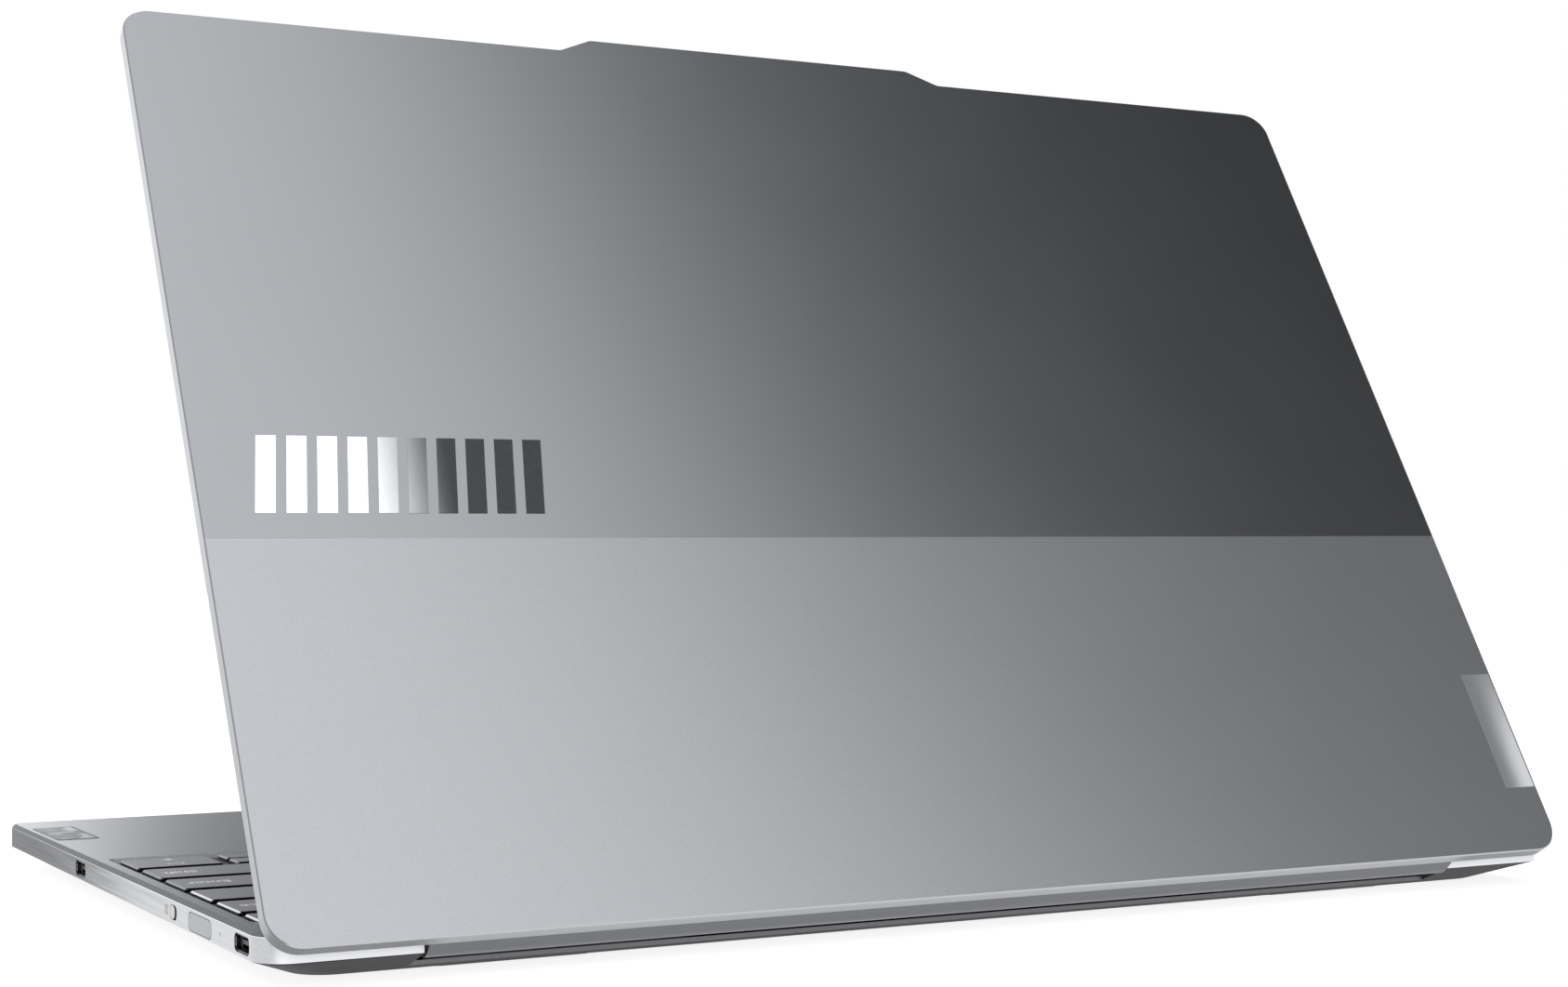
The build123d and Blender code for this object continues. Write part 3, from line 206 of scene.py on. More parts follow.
# ---------------------------------------------------------------- lid
def paint_lid():
    """Two-tone anodised back: fine blasted grain below, smoother and glossier above."""
    upper, lower = (0.322, 0.328, 0.338), (0.396, 0.402, 0.415)
    shade = Shade("lid_two_tone", upper, 0.4, 1.0)
    rise = shade.math("SUBTRACT", shade.dot(shade.place(), LID_UP), HINGE.dot(LID_UP) + LID_FOOT)
    above = shade.step(rise, TWO_TONE_RISE - 0.1 * MM, TWO_TONE_RISE + 0.1 * MM)
    grain = shade.noise(FINE_GRAIN, 2.0, roughness=0.6)
    cloud = shade.noise(35, 2.0)
    speck = shade.noise(3600, 2.0, roughness=0.6)
    lower_tone = shade.mix(shade.step(speck, 0.3, 0.7), darker(lower, 0.07), lighter(lower, 0.02))
    upper_tone = shade.mix(shade.step(grain, 0.3, 0.7), darker(upper, 0.02), upper)
    tone = shade.mix(above, lower_tone, upper_tone)
    out = shade.dot(shade.normal(), LID_OUT)
    # The down-facing lower edge is painted darker beyond the hinge bar: painted shade.
    below = shade.step(shade.dot(shade.normal(), LID_UP), -0.6, -0.3, 1.0, 0.0)
    bar_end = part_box("hinge_cover")[1].x
    past_bar = shade.step(shade.away("X"), bar_end - 4 * MM, bar_end + 4 * MM)
    shaded_lower_edge = shade.mix(past_bar, (0.36, 0.365, 0.378), (0.16, 0.163, 0.168))
    edge_tone = shade.mix(below, (0.30, 0.305, 0.318), shaded_lower_edge)
    tone = shade.mix(shade.step(out, 0.25, 0.35, 1.0, 0.0), tone, edge_tone)
    # Thin chamfer round the back, painted darker down both sides: painted shade.
    chamfer = shade.product(shade.step(out, 0.35, 0.45), shade.step(out, 0.93, 0.97, 1.0, 0.0))
    sideways = shade.step(shade.math("ABSOLUTE", shade.facing("X")), 0.25, 0.45)
    tone = shade.mix(chamfer, tone, shade.mix(sideways, (0.44, 0.445, 0.46), (0.18, 0.183, 0.188)))
    shade.put("Base Color", tone)
    shade.put("Metallic", shade.step(above, 0.0, 1.0, 0.86, 1.0))
    rough = shade.step(above, 0.0, 1.0, 0.285, 0.255)
    wander = shade.step(cloud, 0.3, 0.7, -0.003, 0.003)
    shade.put("Roughness", shade.math("ADD", rough, wander))
    depth = shade.math("MULTIPLY", grain, shade.step(above, 0.0, 1.0, 1.0, 0.15))
    shade.bump(depth, 0.006 * MM, 0.4)
    shade.dress("lid_back_cover")


def paint_lid_trim():
    """Polished bars painted bright fading to dark as a painted reflection, and a brushed plate in the
    corner with painted shade on its edges and a painted sheen.
    """
    bright = Shade("polished_bars", (0.93, 0.93, 0.94), 0.12, 1.0)
    low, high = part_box("lid_emblem")
    # The bars are painted bright fading to dark: painted reflection.
    reflection_fade = bright.step(bright.axis("X"), low.x + 20 * MM, high.x - 16 * MM)
    bright.put("Base Color", bright.mix(reflection_fade, (0.045, 0.046, 0.048), (0.93, 0.93, 0.94)))
    haze = bright.noise(900, 2.0)
    bright.put("Roughness", bright.step(haze, 0.3, 0.7, 0.10, 0.16))
    bright.dress("lid_emblem")
    plate = Shade("brushed_badge", (0.80, 0.805, 0.815), 0.3, 1.0)
    low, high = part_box("lid_badge_plate")
    streak = plate.noise(2600, 2.0, stretch=(1.0, 0.012, 0.012))
    brushed = plate.mix(streak, (0.77, 0.775, 0.785), (0.83, 0.835, 0.845))
    # The plate's edges are painted dark: painted shade.
    face = plate.step(plate.dot(plate.normal(), LID_OUT), 0.6, 0.9)
    plate.put("Base Color", plate.mix(face, (0.16, 0.162, 0.168), brushed))
    # Toward the outer lower corner the plate is made less metallic and paler: painted sheen.
    outer = plate.step(plate.axis("X"), low.x, high.x, 1.0, 0.0)
    lower = plate.step(plate.axis("Z"), low.z, high.z + 5 * MM, 1.0, 0.25)
    plate.put("Metallic", plate.step(plate.product(outer, lower), 0.0, 1.0, 1.0, 0.45))
    plate.dress("lid_badge_plate")


def paint_display():
    """Black cover glass with a printed border, over a panel that is switched off."""
    glass = Shade("cover_glass", (0.006, 0.006, 0.007), 0.05)
    low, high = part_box("lcd_panel")
    side_border, end_border, blend = 1.2 * MM, 3.0 * MM, 0.1 * MM
    up = glass.axis("Z")
    inside = glass.product(
        glass.step(glass.away("X"), high.x - side_border - blend, high.x - side_border, 1.0, 0.0),
        glass.step(up, low.z + end_border, low.z + end_border + blend),
        glass.step(up, high.z - end_border - blend, high.z - end_border, 1.0, 0.0),
    )
    glass.put("Base Color", glass.mix(inside, (0.0035, 0.0035, 0.004), (0.011, 0.012, 0.014)))
    smear = glass.noise(18, 3.0)
    glass.put("Roughness", glass.step(smear, 0.35, 0.75, 0.035, 0.075))
    glass.put("IOR", 1.5)
    glass.dress("display_glass")
    panel = Shade("switched_off_panel", (0.01, 0.01, 0.012), 0.35)
    cells = panel.noise(9000, 1.0)
    panel.put("Roughness", panel.step(cells, 0.3, 0.7, 0.3, 0.4))
    panel.dress("lcd_panel")
    lens = Shade("camera_lens", (0.01, 0.01, 0.02), 0.04)
    ring = lens.step(lens.noise(2500, 1.0), 0.4, 0.6, 0.03, 0.08)
    lens.put("Roughness", ring)
    lens.put("Coat Weight", 1.0)
    lens.dress("camera_lens")
    seal = Shade("seal_rubber", (0.03, 0.03, 0.032), 0.75)
    grain = seal.noise(3000, 2.0)
    seal.put("Roughness", seal.step(grain, 0.3, 0.7, 0.68, 0.82))
    seal.bump(grain, 0.01 * MM, 0.4)
    seal.dress("display_gasket")


def paint_hinge_cover():
    """Satin bar, fine lines drawn along its length."""
    bar = Shade("hinge_bar", (0.165, 0.168, 0.175), 0.38, 1.0)
    line = bar.noise(900, 3.0, stretch=(0.04, 1.0, 1.0))
    bar.put("Base Color", bar.mix(line, (0.152, 0.155, 0.162), (0.178, 0.181, 0.188)))
    bar.put("Roughness", bar.step(line, 0.3, 0.7, 0.32, 0.44))
    bar.bump(bar.noise(4200, 2.0), 0.008 * MM, 0.4)
    bar.dress("hinge_cover")


# ---------------------------------------------------------------- base
def paint_top_case():
    """Blasted deck, bevel painted dark as shade, brushed walls painted darker at the front and brighter
    toward the back as a painted reflection, well painted black as shade.
    """
    deck = (0.326, 0.334, 0.350)
    shade = Shade("base_case", deck, 0.4, 1.0)
    up = shade.facing("Z")
    height = shade.axis("Z")
    back = shade.axis("Y")
    upright = shade.step(shade.math("ABSOLUTE", up), 0.25, 0.35, 1.0, 0.0)
    level = shade.step(up, 0.90, 0.97)
    sloping = shade.math("SUBTRACT", 1.0, shade.math("MAXIMUM", upright, level))
    bevel_low, bevel_high = DECK - 2 * MM, DECK - 1.5 * MM
    bevel = shade.product(sloping, shade.step(height, bevel_low, bevel_high))
    grain = shade.noise(FINE_GRAIN, 2.0, roughness=0.6)
    line = shade.noise(1800, 2.0, stretch=(1.0, 0.012, 1.0))
    deck_tone = shade.mix(shade.step(grain, 0.3, 0.7), darker(deck, 0.05), lighter(deck, 0.03))
    # The wall is painted darker at the front and bright toward the back, a painted reflection; brush
    # lines break up the change.
    drawn = shade.math("ADD", back, shade.step(line, 0.25, 0.75, -14 * MM, 14 * MM))
    shaded_front, lit_back = FRONT + 15 * MM, FRONT + 180 * MM
    bright = shade.step(drawn, shaded_front, lit_back)
    wall_tone = shade.mix(bright, (0.15, 0.153, 0.16), (0.43, 0.436, 0.447))
    wall_tone = shade.mix(shade.step(line, 0.3, 0.7, 0.0, 0.08), wall_tone, (0.75, 0.755, 0.765))
    # Back-facing wall painted lighter: painted highlight.
    wall_tone = shade.mix(shade.step(shade.facing("Y"), 0.75, 0.95), wall_tone, (0.74, 0.746, 0.758))
    # Sloping bevel painted dark: painted shade.
    tone = shade.mix(level, (0.10, 0.102, 0.106), deck_tone)
    tone = shade.mix(upright, tone, wall_tone)
    # Bright line painted where the bevel meets the wall: painted highlight.
    highlight_low, highlight_high = DECK - 0.95 * MM, DECK - 0.90 * MM
    edge_highlight = shade.product(shade.step(height, highlight_low, highlight_high), upright)
    tone = shade.mix(edge_highlight, tone, (0.74, 0.745, 0.755))
    # The keyboard well below the deck is painted black: painted shade in the recess under the keys.
    well_low, well_high = keyboard_well()
    blend = 0.02 * MM
    inside = shade.product(
        shade.step(shade.away("X"), well_high.x, well_high.x + blend, 1.0, 0.0),
        shade.step(back, well_low.y - blend, well_low.y),
        shade.step(back, well_high.y, well_high.y + blend, 1.0, 0.0),
    )
    floor_low, floor_high = DECK - 0.35 * MM, DECK - 0.25 * MM
    sunk = shade.product(level, shade.step(height, floor_low, floor_high, 1.0, 0.0))
    below_low, below_high = DECK - 1.02 * MM, DECK - 0.98 * MM
    hollow = shade.step(height, below_low, below_high, 1.0, 0.0)
    dark = shade.product(inside, shade.math("MAXIMUM", sunk, hollow))
    shade.put("Base Color", shade.mix(dark, tone, (0.012, 0.012, 0.013)))
    # The well's low walls keep the pale blasted finish.
    low_wall = shade.product(
        upright,
        shade.step(shade.away("X"), well_high.x + 1 * MM, well_high.x + 1.2 * MM, 1.0, 0.0),
        shade.step(back, well_low.y - 5 * MM, well_low.y - 4.8 * MM),
    )
    bare = shade.math("SUBTRACT", 1.0, shade.math("MAXIMUM", dark, shade.product(low_wall, 0.85)))
    shade.put("Metallic", shade.product(bare, shade.step(upright, 0.0, 1.0, 0.8, 1.0)))
    # The wall's front and the bevel have their reflection tinted dark: painted shade.
    shade_on_reflection = shade.product(upright, shade.step(bright, 0.0, 1.0, 0.46, 0.0))
    shade_on_reflection = shade.math("MAXIMUM", shade_on_reflection, shade.product(bevel, 0.5))
    shade.put("Specular Tint", shade.mix(shade_on_reflection, WHITE, (0.0, 0.0, 0.0)))
    rough = shade.step(upright, 0.0, 1.0, 0.26, 0.20)
    shade.put("Roughness", shade.math("ADD", rough, shade.product(dark, 0.3)))
    blasted = shade.product(grain, shade.math("SUBTRACT", 1.0, upright))
    shade.bump(blasted, 0.006 * MM, 0.4)
    shade.dress("top_case")


def keyboard_well():
    """Corners of the keyboard area painted black as shade, from the outer keys."""
    side_gap, rear_gap, front_overlap = 2.05 * MM, 2.3 * MM, 0.2 * MM
    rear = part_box("keys_function_row")[1].y + rear_gap
    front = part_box("space_key")[0].y + front_overlap
    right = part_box("enter_key")[1].x + side_gap
    return Vector((-right, front, 0)), Vector((right, rear, 0))


def paint_bottom():
    """Dark anodised tray with a fine orange-peel texture."""
    tray = Shade("bottom_tray", (0.045, 0.046, 0.049), 0.5, 0.85)
    peel = tray.noise(3200, 2.0)
    # Rear-facing faces painted lighter: painted highlight.
    rear_lip_highlight = tray.step(tray.facing("Y"), 0.75, 0.9)
    skin = tray.mix(tray.step(peel, 0.3, 0.7), (0.050, 0.051, 0.054), (0.060, 0.061, 0.064))
    tray.put("Base Color", tray.mix(rear_lip_highlight, skin, (0.17, 0.172, 0.178)))
    tray.put("Specular Tint", (0.6, 0.6, 0.6))
    tray.put("Roughness", tray.step(peel, 0.3, 0.7, 0.44, 0.56))
    tray.bump(peel, 0.008 * MM, 0.4)
    tray.dress("bottom_cover")
    feet = Shade("foot_rubber", (0.025, 0.025, 0.027), 0.8)
    grain = feet.noise(2200, 3.0)
    feet.put("Base Color", feet.mix(grain, (0.018, 0.018, 0.02), (0.035, 0.035, 0.037)))
    feet.bump(grain, 0.03 * MM, 0.6)
    feet.dress("rubber_feet")
    screws = Shade("black_screws", (0.06, 0.06, 0.063), 0.35, 1.0)
    turned = screws.noise(2600, 2.0)
    screws.put("Roughness", screws.step(turned, 0.3, 0.7, 0.28, 0.42))
    screws.dress("bottom_screws")


def paint_touchpad():
    """Etched glass, a shade smoother than the deck around it."""
    pad = Shade("touchpad", (0.40, 0.405, 0.415), 0.3, 0.75)
    grain = pad.noise(5200, 2.0)
    pad.put("Base Color", pad.mix(pad.step(grain, 0.3, 0.7), (0.385, 0.39, 0.40), (0.415, 0.42, 0.43)))
    pad.put("Roughness", pad.step(grain, 0.3, 0.7, 0.27, 0.33))
    pad.put("Coat Weight", 0.25)
    pad.put("Coat Roughness", 0.2)
    pad.dress("touchpad")


def paint_sticker():
    """Foil label with an abstract swirl of greys, and a darker border."""
    foil = Shade("sticker_foil", (0.35, 0.36, 0.38), 0.25, 0.9)
    low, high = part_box("palm_rest_sticker")
    swirl = foil.noise(110, 3.0, stretch=(1.0, 0.5, 1.0))
    glint = foil.step(swirl, 0.45, 0.60)
    tone = foil.mix(glint, (0.05, 0.052, 0.056), (0.42, 0.43, 0.45))
    middle = (low + high) / 2
    edge = 0.0
    border, blend = 0.7 * MM, 0.1 * MM
    for axis, centre, end in (("X", middle.x, high.x), ("Y", middle.y, high.y)):
        reach = end - centre - border
        edge = foil.math("MAXIMUM", edge, foil.step(foil.away(axis, centre), reach, reach + blend))
    foil.put("Base Color", foil.mix(edge, tone, (0.05, 0.052, 0.055)))
    bare = foil.product(glint, foil.math("SUBTRACT", 1.0, edge))
    foil.put("Specular Tint", foil.mix(bare, (0.62, 0.62, 0.62), WHITE))
    foil.put("Roughness", foil.step(swirl, 0.3, 0.7, 0.18, 0.32))
    foil.dress("palm_rest_sticker")


# ---------------------------------------------------------------- keyboard
KEY_BODIES = [name for name in frame["bodies"] if name.startswith("keys_") or name.endswith("_key")]


def paint_keys():
    """Satin grey caps with edges painted light toward the back (painted highlight), dark sides, and
    rear-facing sides, edges and the lower sides painted black as shade.
    """
    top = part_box("enter_key")[1].z
    key = Shade("key_caps", (0.21, 0.213, 0.218), 0.36)
    grain = key.noise(FINE_GRAIN, 2.0)
    tone = key.mix(key.step(grain, 0.3, 0.7), (0.20, 0.203, 0.208), (0.22, 0.223, 0.228))
    up = key.facing("Z")
    rim = key.product(key.step(up, 0.3, 0.5), key.step(up, 0.90, 0.97, 1.0, 0.0))
    # The edges are painted lighter toward the back of the keyboard: painted highlight. Rear-facing edges
    # are painted black: painted shade.
    tab_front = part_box("tab_key")[0].y
    back_row_highlight = key.step(key.axis("Y"), tab_front - 1 * MM, tab_front)
    rearward = key.step(key.facing("Y"), 0.3, 0.6)
    rim_highlight_tone = key.mix(back_row_highlight, (0.14, 0.143, 0.148), (0.62, 0.625, 0.635))
    tone = key.mix(rim, tone, key.mix(rearward, rim_highlight_tone, BLACK))
    side = key.step(up, 0.3, 0.5, 1.0, 0.0)
    # Rear-facing sides painted black: painted shade.
    side_tone = key.mix(rearward, (0.05, 0.051, 0.053), BLACK)
    tone = key.mix(side, tone, side_tone)
    # Lower part of the sides painted black: painted shade in the gap under the caps.
    shaded_skirt_low, shaded_skirt_high = top - 0.85 * MM, top - 0.6 * MM
    low = key.step(key.axis("Z"), shaded_skirt_low, shaded_skirt_high, 1.0, 0.0)
    key.put("Base Color", key.mix(low, tone, BLACK))
    dull = key.math("MAXIMUM", key.math("MAXIMUM", side, low), key.product(rim, rearward))
    key.put("Specular IOR Level", key.step(dull, 0.0, 1.0, 0.5, 0.08))
    key.put("Roughness", key.step(grain, 0.3, 0.7, 0.33, 0.38))
    key.bump(grain, 0.006 * MM, 0.4)
    key.dress(*KEY_BODIES)
    plate = Shade("backplate_paint", (0.015, 0.015, 0.016), 0.6)
    plate.put("Roughness", plate.step(plate.noise(1800, 2.0), 0.3, 0.7, 0.5, 0.7))
    plate.dress("keyboard_backplate")


# ---------------------------------------------------------------- sockets and buttons
def paint_sockets():
    """Dark plated shells with a lighter contact tongue."""
    for name in ("usb_c_port_right_rear", "usb_c_port_right_front", "usb_c_port_left"):
        low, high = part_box(name)
        middle = (low + high) / 2
        shell = Shade(name + "_steel", (0.12, 0.12, 0.123), 0.3, 1.0)
        near, aside = shell.away("Z", middle.z), shell.away("Y", middle.y)
        tongue = shell.product(
            shell.step(near, 0.40 * MM, 0.45 * MM, 1.0, 0.0),
            shell.step(aside, 3.40 * MM, 3.45 * MM, 1.0, 0.0),
        )
        stripe = shell.math("PINGPONG", aside, 0.25 * MM)
        gold = shell.product(
            tongue,
            shell.step(stripe, 0.12 * MM, 0.16 * MM),
            shell.step(near, 0.30 * MM, 0.34 * MM),
        )
        tone = shell.mix(tongue, (0.05, 0.05, 0.052), (0.10, 0.10, 0.103))
        tone = shell.mix(gold, tone, (0.55, 0.44, 0.25))
        # A bright band is painted round the inside of the shell.
        outer_end = max(abs(low.x), abs(high.x))
        depth = shell.math("SUBTRACT", outer_end, shell.away("X"))
        bright_band = shell.product(
            shell.step(depth, 0.8 * MM, 0.85 * MM),
            shell.step(depth, 1.1 * MM, 1.15 * MM, 1.0, 0.0),
            shell.math("SUBTRACT", 1.0, tongue),
        )
        shell.put("Base Color", shell.mix(bright_band, tone, (0.72, 0.72, 0.74)))
        shell.put("Metallic", shell.math("MAXIMUM", shell.math("SUBTRACT", 1.0, tongue), gold))
        shell.put("Specular IOR Level", shell.step(tongue, 0.0, 1.0, 0.5, 0.1))
        shell.put("Roughness", shell.step(shell.noise(1500, 2.0), 0.3, 0.7, 0.25, 0.4))
        shell.dress(name)


def paint_buttons():
    """Satin power button, pale switch knob with its sides painted dark as shade, and a smoked light
    pipe.
    """
    button = Shade("power_button", (0.30, 0.305, 0.315), 0.36, 1.0)
    grain = button.noise(4200, 2.0)
    shine = button.step(grain, 0.3, 0.7)
    button.put("Base Color", button.mix(shine, (0.285, 0.29, 0.30), (0.315, 0.32, 0.33)))
    button.bump(grain, 0.01 * MM, 0.4)
    button.dress("power_button")
    knob = Shade("switch_knob", (0.45, 0.44, 0.435), 0.4)
    fine = knob.noise(2500, 2.0)
    # The knob's sides are painted dark: painted shade.
    outward = knob.step(knob.facing("X"), 0.6, 0.9)
    face = knob.mix(fine, (0.36, 0.35, 0.345), (0.42, 0.41, 0.405))
    knob.put("Base Color", knob.mix(outward, (0.10, 0.10, 0.10), face))
    knob.dress("privacy_switch")
    light = Shade("light_pipe", (0.16, 0.165, 0.165), 0.3)
    light.put("Roughness", light.step(light.noise(3000, 2.0), 0.3, 0.7, 0.22, 0.38))
    light.dress("status_light")


# ---------------------------------------------------------------- inside
def paint_plastic():
    """Moulded plastic inside, and the shrink wrap on the battery cells."""
    plastic = Shade("moulded_black", (0.022, 0.022, 0.024), 0.5)
    grain = plastic.noise(1600, 3.0)
    plastic.put("Base Color", plastic.mix(grain, (0.017, 0.017, 0.018), (0.03, 0.03, 0.032)))
    plastic.put("Roughness", plastic.step(grain, 0.3, 0.7, 0.42, 0.58))
    plastic.bump(grain, 0.02 * MM, 0.5)
    plastic.dress("fan_housing_left", "fan_housing_right", "fan_rotor_left", "fan_rotor_right")
    plastic.dress("battery_frame", "speakers", "audio_jack")
    wrap = Shade("battery_wrap", (0.035, 0.036, 0.04), 0.35)
    crease = wrap.noise(60, 4.0)
    wrap.put("Roughness", wrap.step(crease, 0.3, 0.7, 0.25, 0.45))
    wrap.bump(crease, 0.1 * MM, 0.3)
    wrap.dress("battery_cells")


def paint_boards():
    """Green solder mask over copper tracks, black chips."""
    board = Shade("circuit_board", (0.02, 0.09, 0.06), 0.35)
    tracks = board.node("ShaderNodeTexBrick")
    board.feed(tracks.inputs["Vector"], board.place())
    pattern = {"Scale": 420.0, "Mortar Size": 0.06, "Brick Width": 0.9, "Row Height": 0.3}
    for name, value in pattern.items():
        tracks.inputs[name].default_value = value
    mask = board.mix(tracks.outputs["Fac"], (0.012, 0.055, 0.036), (0.03, 0.12, 0.075))
    flat = board.step(board.math("ABSOLUTE", board.facing("Z")), 0.5, 0.9)
    board.put("Base Color", board.mix(flat, (0.02, 0.02, 0.021), mask))
    board.put("Roughness", board.step(board.noise(500, 2.0), 0.3, 0.7, 0.28, 0.42))
    board.dress("motherboard", "side_boards", "ssd_module", "wifi_card", "camera_module")


def paint_metals():
    """Copper cooling parts, dusty fins and brushed steel hinges."""
    copper = Shade("copper", (0.80, 0.45, 0.30), 0.3, 1.0)
    tarnish = copper.noise(90, 4.0)
    copper.put("Base Color", copper.mix(tarnish, (0.62, 0.33, 0.21), (0.86, 0.52, 0.36)))
    copper.put("Roughness", copper.step(tarnish, 0.3, 0.7, 0.22, 0.4))
    copper.dress("heat_spreader", "heat_pipe")
    fins = Shade("fin_aluminium", (0.20, 0.20, 0.205), 0.4, 1.0)
    dust = fins.noise(600, 3.0)
    fins.put("Base Color", fins.mix(dust, (0.15, 0.15, 0.155), (0.26, 0.26, 0.265)))
    fins.dress("heat_fins")
    steel = Shade("brushed_steel", (0.55, 0.55, 0.56), 0.32, 1.0)
    line = steel.noise(900, 3.0, stretch=(0.05, 1.0, 1.0))
    steel.put("Base Color", steel.mix(line, (0.46, 0.46, 0.47), (0.62, 0.62, 0.63)))
    steel.put("Roughness", steel.step(line, 0.3, 0.7, 0.25, 0.4))
    steel.dress("hinge_barrel_left", "hinge_barrel_right", "hinge_bracket_left", "hinge_bracket_right")
    steel.dress("hinge_shafts", "touchpad_bracket")


# ---------------------------------------------------------------- printed marks
def print_material():
    """Pale legend ink, a little worn."""
    ink = Shade("legend_ink", (0.86, 0.86, 0.87), 0.5)
    wear = ink.noise(1400, 2.0)
    ink.put("Base Color", ink.mix(wear, (0.82, 0.82, 0.83), (0.90, 0.90, 0.91)))
    return ink.material


class Print:
    """Flat marks that are gathered into one mesh and ride on one body."""

    def __init__(self, name, body, slot, material):
        self.name, self.body, self.slot, self.material = name, body, slot, material
        self.points, self.faces = [], []

    def add(self, points, faces, matrix):
        start = len(self.points)
        self.points += [matrix @ Vector(p) for p in points]
        self.faces += [[start + index for index in face] for face in faces]

    def text(self, words, matrix, size, align):
        curve = bpy.data.curves.new("words", "FONT")
        curve.body = words
        curve.size = size
        curve.align_x = align
        curve.align_y = "CENTER"
        curve.resolution_u = 3
        curve.offset = size / 60
        holder = bpy.data.objects.new("words", curve)
        bpy.context.scene.collection.objects.link(holder)
        graph = bpy.context.evaluated_depsgraph_get()
        mesh = bpy.data.meshes.new_from_object(holder.evaluated_get(graph))
        self.add([v.co.copy() for v in mesh.vertices], [list(p.vertices) for p in mesh.polygons], matrix)
        bpy.data.meshes.remove(mesh)
        bpy.data.objects.remove(holder)
        bpy.data.curves.remove(curve)

    def ring(self, matrix, outer, inner, sides=20):
        points, faces = [], []
        for index in range(sides):
            turn = 2 * math.pi * index / sides
            for reach in (outer, inner):
                points.append((reach * math.cos(turn), reach * math.sin(turn), 0))
        for index in range(sides):
            after = (index + 1) % sides
            faces.append([2 * index, 2 * after, 2 * after + 1, 2 * index + 1])
        self.add(points, faces, matrix)

    def polygon(self, matrix, *points):
        self.add([(x, y, 0) for x, y in points], [list(range(len(points)))], matrix)

    def finish(self):
        mesh = bpy.data.meshes.new(self.name)
        mesh.from_pydata([tuple(p) for p in self.points], [], self.faces)
        mesh.materials.append(self.material)
        made = bpy.data.objects.new(self.name, mesh)
        bpy.context.scene.collection.objects.link(made)
        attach(made, self.body)


WORD_SIZE = 4.0 * MM                # on the wide keys
MODIFIER_SIZE = 2.9 * MM
FUNCTION_SIZE = 2.3 * MM
UNIT_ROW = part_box("keys_number_row")
SHORT_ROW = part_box("keys_lower_letter_row")
PITCH = ((UNIT_ROW[1].x - UNIT_ROW[0].x) - (SHORT_ROW[1].x - SHORT_ROW[0].x)) / 3
CAP_WIDTH = (UNIT_ROW[1].x - UNIT_ROW[0].x) - 12 * PITCH
PRINT_LIFT = 0.02 * MM
ARROWS = {"left": math.pi / 2, "up": 0.0, "right": -math.pi / 2, "down": math.pi}

# Runs of legends: body, width of a key and its gap in units, legends.
UNIT_RUNS = [
    ("keys_number_row", 1, "` ~|1 !|2 @|3 #|4 $|5 %|6 ^|7 &|8 *|9 (|0 )|- _|= +".split("|")),
    ("keys_upper_letter_row", 1, list("QWERTYUIOP") + ["[ {", "] }", "\\ |"]),
    ("keys_home_letter_row", 1, list("ASDFGHJKL") + ["; :", "' \""]),
    ("keys_lower_letter_row", 1, list("ZXCVBNM") + [", <", ". >", "/ ?"]),
    ("keys_function_row", 15 / 16, ["Esc"] + [f"F{n}" for n in range(1, 13)] + ["Ins", "Prt", "Del"]),
]
WIDE_KEYS = [("backspace_key", "Backspace", 1), ("tab_key", "Tab", -1), ("caps_lock_key", "Caps", -1),
             ("enter_key", "Enter", 1), ("left_shift_key", "Shift", -1), ("right_shift_key", "Shift", 1)]


def cap_place(x, body, shift=0.0):
    """Matrix that lays a mark on a key's top at x, shift metres behind its middle."""
    low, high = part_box(body)
    return Matrix.Translation((x, (low.y + high.y) / 2 + shift, high.z + PRINT_LIFT))


def print_unit_runs(marks):
    """Letters to the left of a cap's middle, pairs of signs one behind the other."""
    letter, small = 3.6 * MM, 2.7 * MM
    for body, units, words in UNIT_RUNS:
        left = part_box(body)[0].x
        cap = units * PITCH - (PITCH - CAP_WIDTH)
        for index, word in enumerate(words):
            x = left + index * units * PITCH + cap / 2
            if body == "keys_function_row":
                marks[body].text(word, cap_place(x, body), FUNCTION_SIZE, "CENTER")
            elif " " in word:
                plain, shifted = word.split(" ")
                marks[body].text(shifted, cap_place(x, body, 2.9 * MM), small, "CENTER")
                marks[body].text(plain, cap_place(x, body, -2.7 * MM), small, "CENTER")
            else:
                marks[body].text(word, cap_place(x - 3.6 * MM, body, 2.6 * MM), letter, "CENTER")


def print_wide_keys(marks):
    """A word against the outer side of each wide key."""
    inset = 2.4 * MM
    for body, word, side in WIDE_KEYS:
        low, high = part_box(body)
        x = high.x - inset if side > 0 else low.x + inset
        marks[body].text(word, cap_place(x, body), WORD_SIZE, "RIGHT" if side > 0 else "LEFT")


def print_modifiers(marks):
    """Front row: words, and a plain ring on the system key."""
    body = "keys_modifier_row"
    low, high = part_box(body)
    for index, word in enumerate(("Fn", "Ctrl", "", "Alt")):
        x = low.x + index * PITCH + CAP_WIDTH / 2
        if word:
            marks[body].text(word, cap_place(x, body), MODIFIER_SIZE, "CENTER")
        else:
            marks[body].ring(cap_place(x, body), 1.7 * MM, 1.3 * MM)
    for index, word in enumerate(("Ctrl", "Alt")):
        x = high.x - index * PITCH - CAP_WIDTH / 2
        marks[body].text(word, cap_place(x, body), MODIFIER_SIZE, "CENTER")


def print_arrows(marks):
    """Triangles, with a small word in front of the left and right ones."""
    for name, turn in ARROWS.items():
        body = f"arrow_{name}_key"
        low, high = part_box(body)
        middle = (low.x + high.x) / 2
        shift = 0.0
        if name in ("left", "right"):
            word = {"left": "Home", "right": "End"}[name]
            marks[body].text(word, cap_place(middle, body, 3.4 * MM), 2.5 * MM, "CENTER")
            shift = -4.0 * MM
        place = cap_place(middle, body, shift) @ Matrix.Rotation(turn, 4, "Z")
        marks[body].polygon(place, (-1.3 * MM, -0.9 * MM), (1.3 * MM, -0.9 * MM), (0, 1.2 * MM))


